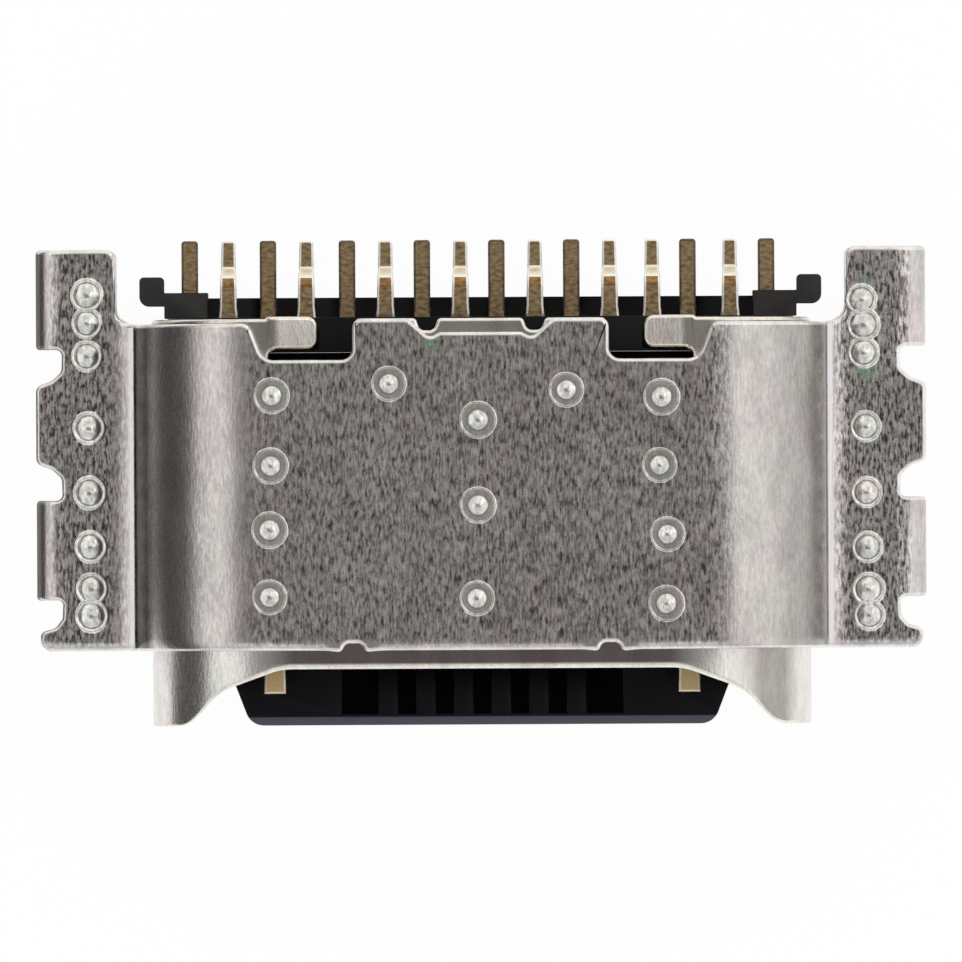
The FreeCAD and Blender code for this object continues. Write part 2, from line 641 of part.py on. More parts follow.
def contact_plan(place, tail, tail_width):
    """A contact from above, from its tip on the tongue to its solder tail."""
    outermost = abs(place) == max(TONGUE_PLACES)
    width = "ground_width" if outermost else "contact_width"
    tip = "ground_tip" if outermost else "signal_tip"
    front = f"({place} * pitch)"
    rear = f"({tail} * pitch)"
    stations = ((front, width, tip), (front, width, JOG_START), (rear, "tail_root", JOG_END),
                (rear, "tail_root", WALL_REAR), (rear, tail_width, f"{WALL_REAR} + tail_neck"))
    right = [Corner(f"{x} + {width} / 2", y) for x, width, y in stations]
    left = [Corner(f"{x} - {width} / 2", y) for x, width, y in stations]
    end = [Corner(f"{rear} {hand} {tail_width} / 2", TAIL_TIP, "tail_round") for hand in "+-"]
    return right + end + left[::-1]


def stepped_side():
    """An upper contact from the side: level out of the wall, steep down, a flat foot."""
    high = f"({HALF_TONGUE} - contact_sheet / 2)"
    low = f"({BOARD} + contact_sheet / 2)"
    steep_run = f"({high} - {low} - 2 * tail_bend * (1 - cos(tail_slope))) / tan(tail_slope)"
    foot = f"({TAIL_TIP} - tail_foot)"
    bend = f"({foot} - 2 * tail_bend * sin(tail_slope) - {steep_run})"
    outer, inner = "(tail_bend + contact_sheet / 2)", "(tail_bend - contact_sheet / 2)"

    def fall(radius):
        return Corner(f"{bend} + {radius} * sin(tail_slope)",
                      f"{high} - tail_bend + {radius} * cos(tail_slope)")

    def land(radius, arc):
        return Corner(f"{foot} - {radius} * sin(tail_slope)",
                      f"{low} + tail_bend - {radius} * cos(tail_slope)", **arc)

    first_fall = fall(inner)
    first_fall.left = inner
    return [Corner("0", f"{high} + contact_sheet / 2"),
            Corner(bend, f"{high} + contact_sheet / 2", right=outer),
            fall(outer), land(inner, {"left": inner}),
            Corner(foot, f"{low} + contact_sheet / 2"), Corner(TAIL_TIP, f"{low} + contact_sheet / 2"),
            Corner(TAIL_TIP, BOARD), Corner(foot, BOARD, right=outer), land(outer, {}), first_fall,
            Corner(bend, f"{high} - contact_sheet / 2"), Corner("0", f"{high} - contact_sheet / 2")]


def straight_side():
    """A lower contact from the side: along the underside of the tongue, then the board face."""
    path = (("0", f"-{HALF_TONGUE}"), (JOG_START, f"-{HALF_TONGUE}"), (JOG_END, BOARD), (TAIL_TIP, BOARD))
    upper = [Corner(y, f"{z} + contact_sheet") for y, z in path]
    return [Corner(y, z) for y, z in path] + upper[::-1]


def make_contacts(row, side, tails, tail_width):
    """The eight contacts of one row, from left to right."""
    reach = "(block_outer + 1)"
    return [stamped(f"{row}_contact_{count}", side, contact_plan(place, tail, tail_width), reach)
            for count, (place, tail) in enumerate(zip(TONGUE_PLACES, tails), start=1)]


# Mouldings: each is cut by the metal that it holds

def moulded(label, body, metal):
    """The body less the metal that runs through it."""
    held = doc.addObject("Part::Compound", f"{label}_metal")
    held.Links = metal
    piece = doc.addObject("Part::Cut", label)
    piece.Base, piece.Tool = body, held
    piece.Label = label
    return piece


def make_tongue(metal):
    half_step = "(step_height / 2)"
    chamfer = "tongue_chamfer"
    upper = [Corner(WALL_FRONT, half_step), Corner(STEP_FRONT, half_step), Corner(STEP_FRONT, HALF_TONGUE),
             Corner(chamfer, HALF_TONGUE), Corner(0, f"{HALF_TONGUE} - {chamfer}")]
    side = upper + turned_over(upper)[::-1]
    half, tip = "(tongue_width / 2)", "(tongue_width / 2 - tongue_taper)"
    plan = both_sides([Corner("step_width / 2", WALL_FRONT), Corner("step_width / 2", STEP_FRONT),
                       Corner(half, STEP_FRONT), Corner(half, "taper_length"),
                       Corner(tip, 0, "tongue_round")])
    body = stamped("tongue_block", side, plan, "(step_width / 2 + 1)")
    floor = f"({HALF_TONGUE} - pocket_depth)"
    pocket_rear = "(tongue_lip + pocket_length)"
    gaps = [(f"({place} * pitch)", "contact_width / 2") for place in range(-2, 3)]
    loops = [rectangle(f"{x} - {half_gap}", f"{x} + {half_gap}", "tongue_lip", pocket_rear)
             for x, half_gap in gaps]
    for hand in ("", "-"):
        wide = (f"{hand} (2.5 * pitch + contact_width / 2)", f"{hand} (4 * pitch - contact_width / 2)")
        edges = wide if not hand else wide[::-1]
        loops.append(rectangle(*edges, "tongue_lip", pocket_rear))
    cut = pocket(body, outline(body, "plan", "tongue_pockets", *loops, offset=floor), upward=True)
    mirror(body, [cut], "XY_Plane")
    return moulded("tongue_moulding", body, metal)


def wafer_block(label, turn):
    """Half of the rear wall, filling the shell above or below the middle."""
    body = new_body(label)
    half = both_sides([Corner(f"{BEND_CENTRE} + {WAFER_RADIUS}", 0), Corner(BEND_CENTRE, WAFER_RADIUS)])
    half[0].left = half[2].left = WAFER_RADIUS
    section_pad(body, f"{label}_section", WALL_FRONT, WALL_REAR, turn(half))
    return body


def make_upper_wafer(metal):
    body = wafer_block("upper_block", list)
    room = rectangle(f"{CATCH_LINE} - catch_reach - catch_play", f"{BEND_CENTRE} + catch_reach",
                     f"{CATCH_REAR} - catch_width - catch_play", BEHIND)
    floor = f"{SHELL_INNER} - catch_drop - catch_play"
    cut = pocket(body, outline(body, "plan", "catch_room", room, offset=floor), upward=True)
    mirror(body, [cut])
    return moulded("upper_wafer", body, metal)


def make_lower_wafer(metal):
    """The lower half of the wall, with the ledge, its end blocks and the ears behind it."""
    body = wafer_block("lower_block", turned_over)
    top = f"({BOARD} - ledge_drop)"
    bottom = f"({top} - ledge_height)"
    seat = f"{WALL_REAR} - wall_length / 2"
    rise = f"({BOARD} + ear_rise)"
    plan_pad(body, "ledge", bottom, top,
             rectangle("-(block_outer)", "block_outer", WALL_REAR, f"{WALL_REAR} + ledge_length"))
    block_rear = f"({WALL_REAR} + block_length)"
    block = plan_pad(body, "end_block", bottom, rise,
                     rectangle("block_outer - block_width", "block_outer", WALL_REAR, block_rear))
    ear_front = "(shell_length + ear_place)"
    neck = f"({block_rear} - ear_neck)"
    ear_outer = "(block_outer + ear_width)"
    ear = plan_pad(body, "ear", BOARD, rise,
                   [Corner("block_outer - block_width / 4", neck), Corner("block_outer", neck),
                    Corner("block_outer", ear_front), Corner(ear_outer, ear_front, "ear_round"),
                    Corner(ear_outer, f"{ear_front} + ear_length", "ear_soft"),
                    Corner("block_outer", f"{ear_front} + ear_length", "ear_soft"),
                    Corner("block_outer", block_rear), Corner("block_outer - block_width / 4", block_rear)])
    mirror(body, [block, ear])
    return moulded("lower_wafer", body, metal)


# The whole receptacle

shield = make_shield_plate()
upper_ground = make_ground_plate("upper_ground_plate", list)
lower_ground = make_ground_plate("lower_ground_plate", turned_over)
upper_contacts = make_contacts("upper", stepped_side(), UPPER_TAILS, "stepped_width")
lower_contacts = make_contacts("lower", straight_side(), LOWER_TAILS, "tail_width")
pieces = [make_inner_shell(), make_upper_cover(), make_lower_bracket(), shield, upper_ground, lower_ground]
pieces += upper_contacts + lower_contacts
pieces.append(make_tongue([shield, upper_ground, lower_ground] + upper_contacts + lower_contacts))
pieces.append(make_upper_wafer([shield] + upper_contacts))
pieces.append(make_lower_wafer([shield] + lower_contacts))
doc.recompute()

# Checks, then one file for each piece

for item in doc.Objects:
    if "Invalid" in item.State or "Error" in item.State:
        raise ValueError(f"{item.Label} failed: {item.State}")
for piece in pieces:
    if piece.Shape.isNull() or not piece.Shape.isValid() or len(piece.Shape.Solids) != 1:
        raise ValueError(f"{piece.Label} isn't one valid solid")

os.makedirs("parts", exist_ok=True)
for piece in pieces:
    piece.Shape.exportStep(f"parts/{piece.Label}.step")
    size = piece.Shape.BoundBox
    print(f"{piece.Label}: {size.XLength:.2f} x {size.YLength:.2f} x {size.ZLength:.2f} mm")
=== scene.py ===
# %% [markdown]
# # A board-mounted socket in folded sheet metal
# The real object is about 12 mm wide. A drawn oval shell holds a black contact tongue, a folded
# cover is spot-welded over it, and a row of gilt solder tails leaves at the back. The frame gives
# every solid its size and place. This lesson dresses it: smooth folded sheets with worn, brushed
# metal, weld spots, rounded contacts and dull black mouldings.

# %% Tools and the frame
import math
import random

import bmesh
import bpy
from mathutils import Matrix, Vector


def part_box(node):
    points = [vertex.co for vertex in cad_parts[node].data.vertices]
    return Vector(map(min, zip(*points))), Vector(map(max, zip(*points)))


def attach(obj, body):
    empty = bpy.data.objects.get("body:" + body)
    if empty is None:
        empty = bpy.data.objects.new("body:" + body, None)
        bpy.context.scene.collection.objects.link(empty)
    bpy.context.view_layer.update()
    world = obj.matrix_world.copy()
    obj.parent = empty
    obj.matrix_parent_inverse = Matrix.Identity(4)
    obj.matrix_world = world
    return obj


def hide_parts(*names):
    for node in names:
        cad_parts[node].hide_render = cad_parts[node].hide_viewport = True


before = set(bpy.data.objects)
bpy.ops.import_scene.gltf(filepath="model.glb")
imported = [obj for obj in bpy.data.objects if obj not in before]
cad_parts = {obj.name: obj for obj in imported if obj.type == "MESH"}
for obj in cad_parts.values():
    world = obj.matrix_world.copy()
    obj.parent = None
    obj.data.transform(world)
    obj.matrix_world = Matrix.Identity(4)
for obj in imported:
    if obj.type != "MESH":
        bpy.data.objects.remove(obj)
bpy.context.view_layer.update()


def new_object(name, data):
    """An object with this data, put in the scene."""
    made = bpy.data.objects.new(name, data)
    bpy.context.scene.collection.objects.link(made)
    return made


# %% [markdown]
# ## Units and shared sizes
# A socket this small is easier to think about in millimetres. Each piece is modelled in
# millimetres and brought to metres as its last step. Sizes that several pieces share are read
# from the boxes of the solids, and the few that a box can't tell are named here.

# %% Sizes in millimetres
MM = 0.001


def size_of(node):
    """The lowest and highest corner of a solid, in millimetres."""
    low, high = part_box(node)
    return low / MM, high / MM


shell_high = size_of("inner_shell")[1]
cover_low, cover_high = size_of("upper_cover")
bracket_low, bracket_high = size_of("lower_bracket")

WALL = 0.20
SHEET_GAP = 0.02
CATCH_OVERHANG = 0.03
SHELL_RADIUS = shell_high.z
BEND_CENTRE = shell_high.x - SHELL_RADIUS
COVER_RADIUS = SHELL_RADIUS + WALL + SHEET_GAP
COVER_FRONT = cover_low.y
WING_REAR = cover_high.y
LEG_FACE = cover_high.x
LEG_TIP = cover_low.z
CATCH_REAR = shell_high.y
SHELL_REAR = CATCH_REAR - CATCH_OVERHANG
FOLD_RADIUS = 0.20
print("shoulder radius", round(COVER_RADIUS, 3), "around x =", round(BEND_CENTRE, 3))

# %% [markdown]
# ## Camera
# The photograph looks straight down on the socket from far away, so nothing converges. A long
# lens at 0.4 m gives that view. The picture shows a little under 12.8 mm across, and the socket
# lies turned in it by a third of a degree.

# %% Camera
PHOTO_SIZE = 962
PIXELS_PER_MM = 75.4
MIDDLE_PX = (481.3, 724.7)
TURN_CENTRE_Y = 3.2
PHOTO_TURN = math.radians(0.3)
CAMERA_HEIGHT = 400
FOCUS_LEVEL = 0.6
SENSOR_WIDTH = 36
CLOSEST, FARTHEST = 0.05, 2.0


def on_model(pixel_x, pixel_y):
    """The place in millimetres that a pixel of the photograph shows."""
    right = (pixel_x - MIDDLE_PX[0]) / PIXELS_PER_MM
    up = (MIDDLE_PX[1] - pixel_y) / PIXELS_PER_MM - TURN_CENTRE_Y
    x = right * math.cos(PHOTO_TURN) + up * math.sin(PHOTO_TURN)
    y = up * math.cos(PHOTO_TURN) - right * math.sin(PHOTO_TURN)
    return x, y + TURN_CENTRE_Y


lens = bpy.data.cameras.new("camera")
lens.sensor_width = SENSOR_WIDTH
lens.lens = SENSOR_WIDTH * CAMERA_HEIGHT * PIXELS_PER_MM / PHOTO_SIZE
lens.clip_start = CLOSEST
lens.clip_end = FARTHEST
camera = new_object("camera", lens)
centre_x, centre_y = on_model(PHOTO_SIZE / 2, PHOTO_SIZE / 2)
camera.location = Vector((centre_x, centre_y, CAMERA_HEIGHT + FOCUS_LEVEL)) * MM
camera.rotation_euler = (0, 0, -PHOTO_TURN)
bpy.context.scene.camera = camera
bpy.context.scene.view_settings.view_transform = "Standard"
print("lens", round(lens.lens), "mm, middle of the picture at", round(centre_x, 3), round(centre_y, 3))

# %% [markdown]
# ## Node helper
# Every material below is a small net of nodes. A helper that adds a node, fills its inputs and
# links what is itself a socket keeps each material readable.

# %% Node helpers
def add_node(tree, kind, inputs=None, **settings):
    """Adds a node. Inputs that are sockets are linked, all others are set as values."""
    node = tree.nodes.new("ShaderNode" + kind)
    for name, value in settings.items():
        setattr(node, name, value)
    for name, value in (inputs or {}).items():
        if isinstance(value, bpy.types.NodeSocket):
            tree.links.new(value, node.inputs[name])
        else:
            node.inputs[name].default_value = value
    return node


def new_material(name):
    """A material and its net of nodes, which is empty."""
    material = bpy.data.materials.new(name)
    material.use_nodes = True
    material.node_tree.nodes.clear()
    return material, material.node_tree


def end_material(tree, grain, depth, inputs, strength=0.25):
    """Ends a material with its shader, roughened by the grain, so many millimetres deep."""
    bump = add_node(tree, "Bump", {"Strength": strength, "Distance": depth * MM, "Height": grain})
    shader = add_node(tree, "BsdfPrincipled", {"Normal": bump.outputs[0], **inputs})
    add_node(tree, "OutputMaterial", {"Surface": shader.outputs[0]})


def colour_ramp(tree, factor, stops):
    """A ramp of grey or coloured stops: (place, colour)."""
    ramp = add_node(tree, "ValToRGB", {"Fac": factor})
    points = ramp.color_ramp.elements
    for place, (position, colour) in enumerate(stops):
        point = points[place] if place < len(points) else points.new(position)
        point.position = position
        value = (colour, colour, colour) if isinstance(colour, (int, float)) else colour
        point.color = (*value, 1)
    return ramp.outputs["Color"]


def calculate(tree, first, second, operation="MULTIPLY"):
    """The product of two numbers, or what another operation makes of them."""
    return add_node(tree, "Math", {0: first, 1: second}, operation=operation).outputs[0]


# %% [markdown]
# ## Light
# Brushed metal shows what stands round it. The studio is plain white, so that colours render as
# they are written, and a few cards stand in it, as a photographer would place them. A grey card
# overhead darkens what lies flat. A black card on the left gives the left shoulder its dark band,
# and a dim one on the table keeps the bends of the left legs from going black. A pale blue one in
# front tints the front edges. They are seen in reflections only.

# %% World
world = bpy.data.worlds.new("studio")
bpy.context.scene.world = world
world.use_nodes = True
background = world.node_tree.nodes["Background"].inputs
background["Color"].default_value = (1, 1, 1, 1)
background["Strength"].default_value = 1.0
print("world:", world.name)

# %% Cards
FAR = 250
CARD_TABLE = bracket_low.z + 0.3
CEILING_HEIGHT = 300
CEILING_X = (-165, 172)
CEILING_Y = (-160, 170)
BLACK_START = -11
BLACK_TOP = 122
DIM_START = -5.95
DIM_Y = (0.95, 6.6)
BLUE_Z = (90, 330)


def add_card(name, corners, colour):
    """A card through corners in millimetres, which only shows in what is glossy."""
    bm = bmesh.new()
    rows = [[bm.verts.new(Vector(corner) * MM) for corner in row] for row in corners]
    for low, high in zip(rows, rows[1:]):
        bm.faces.new((low[0], low[1], high[1], high[0]))
    mesh = bpy.data.meshes.new(name)
    bm.to_mesh(mesh)
    bm.free()
    card_material, tree = new_material(name)
    glow = add_node(tree, "Emission", {"Color": (*colour, 1), "Strength": 1.0})
    add_node(tree, "OutputMaterial", {"Surface": glow.outputs[0]})
    mesh.materials.append(card_material)
    card = new_object(name, mesh)
    card.visible_camera = card.visible_diffuse = card.visible_transmission = card.visible_shadow = False
    print("card:", name)


def across(y_range, x, z):
    """A row of corners along Y, from the rear to the front."""
    return [(x, y_range[1], z), (x, y_range[0], z)]


ceiling = [[(x, y, CEILING_HEIGHT) for x in CEILING_X] for y in CEILING_Y]
black = [across((-FAR, FAR), BLACK_START, CARD_TABLE), across((-FAR, FAR), -FAR, CARD_TABLE),
         across((-FAR, FAR), -FAR, BLACK_TOP)]
dim = [across(DIM_Y, DIM_START, CARD_TABLE), across(DIM_Y, BLACK_START, CARD_TABLE)]
blue = [[(x, -FAR, z) for x in (-FAR, FAR)] for z in BLUE_Z]
add_card("ceiling_card", ceiling, (0.27, 0.265, 0.26))
add_card("black_card", black, (0.07, 0.068, 0.065))
add_card("dim_card", dim, (0.24, 0.235, 0.225))
add_card("blue_card", blue, (0.70, 0.74, 0.80))

# %% Lamp
LAMP_PLACE = Vector((60, 40, 120))
LAMP_AIM = Vector((0, 3, 0))
LAMP_SIZE = 60
LAMP_POWER = 0.008
lamp = bpy.data.lights.new("high_right_lamp", "AREA")
lamp.size = LAMP_SIZE * MM
lamp.energy = LAMP_POWER
holder = new_object("high_right_lamp", lamp)
holder.location = LAMP_PLACE * MM
holder.rotation_euler = (LAMP_PLACE - LAMP_AIM).to_track_quat("Z", "Y").to_euler()
print("lamp:", holder.name)

# %% [markdown]
# ## Floor
# The background is a white table. It keeps a faint shadow, and shows nearly white to the camera.

# %% Floor
FLOOR_LEVEL = bracket_low.z - 0.002
FLOOR_HALF = 300
PAPER_GREY = 0.9
GLOW_SHARE = 0.96
floor_bm = bmesh.new()
bmesh.ops.create_grid(floor_bm, x_segments=1, y_segments=1, size=FLOOR_HALF * MM)
floor_mesh = bpy.data.meshes.new("floor")
floor_bm.to_mesh(floor_mesh)
floor_bm.free()
floor_mesh.transform(Matrix.Translation((0, 0, FLOOR_LEVEL * MM)))
floor = new_object("floor", floor_mesh)
paper, paper_tree = new_material("white_table")
paper_rays = add_node(paper_tree, "LightPath")
matt = add_node(paper_tree, "BsdfDiffuse", {"Color": (PAPER_GREY, PAPER_GREY, PAPER_GREY, 1)})
glow = add_node(paper_tree, "Emission", {"Color": (1, 1, 1, 1), "Strength": 1.0})
bright = add_node(paper_tree, "MixShader", {0: GLOW_SHARE, 1: matt.outputs[0], 2: glow.outputs[0]})
direct = paper_rays.outputs["Is Camera Ray"]
for kind in ("Is Glossy Ray", "Is Transmission Ray"):
    direct = calculate(paper_tree, direct, paper_rays.outputs[kind], "MAXIMUM")
shown = add_node(paper_tree, "MixShader", {0: direct, 1: matt.outputs[0], 2: bright.outputs[0]})
add_node(paper_tree, "OutputMaterial", {"Surface": shown.outputs[0]})
floor_mesh.materials.append(paper)
print("the floor lies at", round(FLOOR_LEVEL, 3))

# %% [markdown]
# ## Metal
# The sheets are nickel-plated steel, rolled along the socket. The rolling leaves fine streaks
# with strong contrast, three hundredths of a millimetre wide and four times as long. A noise that
# is stretched along Y makes them. It is read in all three directions, so that the streaks keep
# their width round the shoulders. A rounder noise adds the speckle of the plating, and wide ones
# its lighter and darker patches with their lilac and green tinge. Bends and edges are rubbed
# smoother than the roof and the flanges.

# %% Metal material
LILAC = (1.0, 0.965, 0.97)
GREENISH = (0.975, 1.0, 0.975)

# Noises: grains to the millimetre across the socket and along it, and the detail
STREAKS = (30, 7, 3.0)
SPECKS = (18, 10, 2.0)
CLOUDS = (1.6, 0.8, 2.0)
PATCHES = (3.1, 1.3, 3.0)
STREAK_CONTRAST = 0.12
GRAIN_DEPTH = 0.004


def noise(tree, place, fineness, roughness=0.6):
    """Noise with so many grains to the millimetre across the socket and along it."""
    wide, long, detail = fineness
    scaled = add_node(tree, "Mapping", {"Vector": place, "Scale": (wide / MM, long / MM, wide / MM)})
    return add_node(tree, "TexNoise", {"Vector": scaled.outputs[0], "Scale": 1.0, "Detail": detail,
                                       "Roughness": roughness}).outputs["Fac"]


def mix(tree, factor, first, second, blend="MIX"):
    """Mixes two colours, or multiplies them."""
    first, second = [(*value, 1) if isinstance(value, tuple) else value for value in (first, second)]
    inputs = {0: factor, 6: first, 7: second}
    return add_node(tree, "Mix", inputs, data_type="RGBA", blend_type=blend).outputs[2]


def fade(tree, value, start, end, low=0.0, high=1.0):
    """low up to the start, high from the end on, in millimetres."""
    return add_node(tree, "MapRange", {"Value": value, "From Min": start * MM, "From Max": end * MM,
                                       "To Min": low, "To Max": high}).outputs[0]


def tinted(tree, tone, low, high, tint, ends=(0.0, 1.0)):
    """A ramp over the tone, between two brightnesses of one tint."""
    stops = [(end, [level * part for part in tint]) for end, level in zip(ends, (low, high))]
    return colour_ramp(tree, tone, stops)


# %% Zones of the cover
# Where a finish starts and where it is full, along X, Y or Z
SMOOTH = (0.56, 0.74)
DULL = (0.49, 0.65)
FLANGE_ENDS = (0.16, 0.84)
LEFT_SHOULDER = (-2.95, -3.25)
RIGHT_SHOULDER = (3.12, 3.38)
RIGHT_SIDE = (3.65, 3.95)
RIGHT_FOLD = (4.44, 4.52)
LEFT_FLANGE = (-4.70, -4.95)
RIGHT_FLANGE = (4.64, 4.84)
LEG_BEND = (-0.005, -0.05)
FRONT_EDGE = (COVER_FRONT + 0.15, COVER_FRONT + 0.07)


def cover_zones(tree, place, tone, base, tint, flange):
    """The shoulders, the bends of the legs and the front edge are smooth, the flanges are grainy."""
    smooth = tinted(tree, tone, *SMOOTH, tint)
    dull = tinted(tree, tone, *DULL, tint)
    grainy = tinted(tree, tone, *flange, tint, FLANGE_ENDS)
    zones = (("X", LEFT_SHOULDER, smooth), ("X", RIGHT_SHOULDER, smooth), ("X", RIGHT_SIDE, dull),
             ("X", RIGHT_FOLD, smooth), ("X", LEFT_FLANGE, grainy), ("X", RIGHT_FLANGE, grainy),
             ("Z", LEG_BEND, smooth), ("Y", FRONT_EDGE, smooth))
    parts = add_node(tree, "SeparateXYZ", {"Vector": place}).outputs
    for axis, (start, full), finish in zones:
        base = mix(tree, fade(tree, parts[axis], start, full), base, finish)
    return base


# %% Sheet metal
def rolled_metal(name, dark, light, roughness, tint, speck=0.35, marks=None, flange=None):
    """Plated sheet. dark and light are the ends of the streaks' contrast, and marks adds stains and painted
    light.
    """
    material, tree = new_material(name)
    place = add_node(tree, "TexCoord").outputs["Object"]
    streaks = colour_ramp(tree, noise(tree, place, STREAKS),
                          [(0.5 - STREAK_CONTRAST, 0.0), (0.5 + STREAK_CONTRAST, 1.0)])
    specks = colour_ramp(tree, noise(tree, place, SPECKS), [(0.40, 0.0), (0.60, 1.0)])
    tone = mix(tree, speck, streaks, specks)
    base = tinted(tree, tone, dark, light, tint)
    if flange:
        base = cover_zones(tree, place, tone, base, tint, flange)
    clouds = colour_ramp(tree, noise(tree, place, CLOUDS), [(0.38, LILAC), (0.62, GREENISH)])
    patches = colour_ramp(tree, noise(tree, place, PATCHES), [(0.35, 0.88), (0.65, 1.08)])
    base = mix(tree, 1.0, mix(tree, 1.0, base, clouds, "MULTIPLY"), patches, "MULTIPLY")
    if marks:
        base = marks(tree, place, base)
    shine = colour_ramp(tree, tone, [(0.0, roughness * 1.25), (1.0, roughness * 0.85)])
    end_material(tree, tone, GRAIN_DEPTH, {"Base Color": base, "Metallic": 1.0, "Roughness": shine})
    return material


# %% [markdown]
# ## Stains and painted light
# The cover has greenish residue of the plating bath in small blots on the roof and the right wing,
# painted shade in the fold between shoulder and flange, darkest on the left, and a painted highlight
# along the crease beside it. The shell has a strip of painted shade in front of the cover's edge,
# a duller right lobe, and a dull rear end.

# %% Residue
RESIDUE_GREEN = (0.50, 0.80, 0.55)
RESIDUE = ((433, 343, 0.10, 0.9), (866, 283, 0.09, 0.6), (864, 310, 0.08, 0.5), (866, 369, 0.13, 0.7),
           (852, 345, 0.07, 0.5), (552, 400, 0.08, 0.4))
BLOT_CORE, BLOT_END = 0.6, 1.5
RAGGED = (9, 9, 3.0)


def residue(tree, place, base):
    """Green blots (pixel, radius, strength) round places of the photograph, ragged by a noise."""
    ragged = colour_ramp(tree, noise(tree, place, RAGGED), [(0.40, 0.2), (0.55, 1.0)])
    for pixel_x, pixel_y, radius, strength in RESIDUE:
        x, y = on_model(pixel_x, pixel_y)
        level = COVER_RADIUS if abs(x) < BEND_CENTRE else 0
        distance = add_node(tree, "VectorMath", {0: place, 1: (x * MM, y * MM, level * MM)},
                            operation="DISTANCE").outputs["Value"]
        near = fade(tree, distance, BLOT_CORE * radius, BLOT_END * radius, strength, 0.0)
        base = mix(tree, calculate(tree, near, ragged), base, RESIDUE_GREEN)
    return base


# %% Stains and painted light of the shell and of the cover
# The strip in front of the cover's edge is painted shade, where the cover shades the shell
STRIP_FRONT, STRIP_REAR, STRIP_SIDE = (0.76, 0.84), (1.4, 1.2), (2.95, 2.5)
STRIP_SHADE_TINT = (0.35, 0.30, 0.32)
LOBE_INNER, LOBE_OUTER = (3.4, 3.7), (4.2, 4.0)
LOBE_TINT = (0.50, 0.49, 0.48)
DULL_REAR = (4.9, 5.0)
REAR_TINT = (0.66, 0.64, 0.62)
# Painted shade in the fold between shoulder and flange, darkest on the left, and a painted highlight along
# the crease beside it
PAINTED_FOLD_SHADE = (0.02, 0.018, 0.012)
SHADED_FOLD_SIDES = ((-1, (4.34, 4.44), 0.90), (1, (3.85, 4.45), 0.40))
FOLD_SHADE_LIMIT = (4.618, 4.595)
CREASE_INNER, CREASE_OUTER = (4.60, 4.62), (4.69, 4.66)
PAINTED_CREASE_HIGHLIGHT = (0.78, 0.76, 0.75)


def darkened(tree, share, base, tint):
    """The base, multiplied by the tint where the share is 1."""
    return mix(tree, share, base, mix(tree, 1.0, base, tint, "MULTIPLY"))


def shell_shade_and_tints(tree, place, base):
    """The strip of painted shade in front of the cover's edge, the lobe and the rear end of the shell."""
    parts = add_node(tree, "SeparateXYZ", {"Vector": place}).outputs
    from_middle = add_node(tree, "Math", {0: parts["X"]}, operation="ABSOLUTE").outputs[0]
    strip = calculate(tree, fade(tree, parts["Y"], *STRIP_FRONT), fade(tree, parts["Y"], *STRIP_REAR))
    strip = calculate(tree, strip, fade(tree, from_middle, *STRIP_SIDE))
    lobe = calculate(tree, fade(tree, parts["X"], *LOBE_INNER), fade(tree, parts["X"], *LOBE_OUTER))
    # Painted shade along the strip in front of the cover's edge
    base = darkened(tree, strip, base, STRIP_SHADE_TINT)
    base = darkened(tree, lobe, base, LOBE_TINT)
    return darkened(tree, fade(tree, parts["Y"], *DULL_REAR), base, REAR_TINT)


def residue_and_painted_folds(tree, place, base):
    """The residue, painted shade in the folds and a painted highlight along the creases."""
    base = residue(tree, place, base)
    sideways = add_node(tree, "SeparateXYZ", {"Vector": place}).outputs["X"]
    for side, inner, darkness in SHADED_FOLD_SIDES:
        reach = calculate(tree, sideways, side)
        fold_shade = calculate(tree, fade(tree, reach, *inner, 0.0, darkness), fade(tree, reach, *FOLD_SHADE_LIMIT))
        line = calculate(tree, fade(tree, reach, *CREASE_INNER), fade(tree, reach, *CREASE_OUTER))
        # Painted shade in the fold, then the painted highlight along the crease
        base = mix(tree, line, mix(tree, fold_shade, base, PAINTED_FOLD_SHADE), PAINTED_CREASE_HIGHLIGHT)
    return base


# %% The metals
SPECKLED = 0.8
cover_metal = rolled_metal("cover_metal", 0.09, 1.0, 0.26, (1.0, 0.94, 0.91),
                           marks=residue_and_painted_folds, flange=(0.10, 1.0))
edge_metal = rolled_metal("edge_metal", 0.78, 0.95, 0.30, (1.0, 0.97, 0.94))
rim_metal = rolled_metal("rim_metal", 0.80, 0.98, 0.28, (1.0, 0.94, 0.84))
shell_metal = rolled_metal("shell_metal", 0.78, 0.90, 0.24, (1.0, 0.965, 0.93), marks=shell_shade_and_tints)
cut_metal = rolled_metal("cut_metal", 0.60, 0.92, 0.34, (1.0, 0.96, 0.90), SPECKLED)
weld_metal = rolled_metal("weld_metal", 0.62, 0.95, 0.24, (1.0, 0.965, 0.92), SPECKLED)
scorched_metal = rolled_metal("scorched_metal", 0.34, 0.60, 0.36, (1.0, 0.96, 0.90), SPECKLED)
print("metals:", cover_metal.name, shell_metal.name, cut_metal.name, weld_metal.name)

# %% [markdown]
# ## Folded sheets
# A folded sheet is made as in a workshop: cut a flat blank, then bend it. The blank is one flat
# face whose corners are rounded by a corner bevel. It is cut across at every bend, finely enough
# for a round shoulder, and each point is then moved to where its distance along the sheet puts
# it. Thickness and softened edges come last, so they follow the bends by themselves.

# %% Blank and bends
CORNER_STEPS = 7
ALONG = (0, 1, 0)


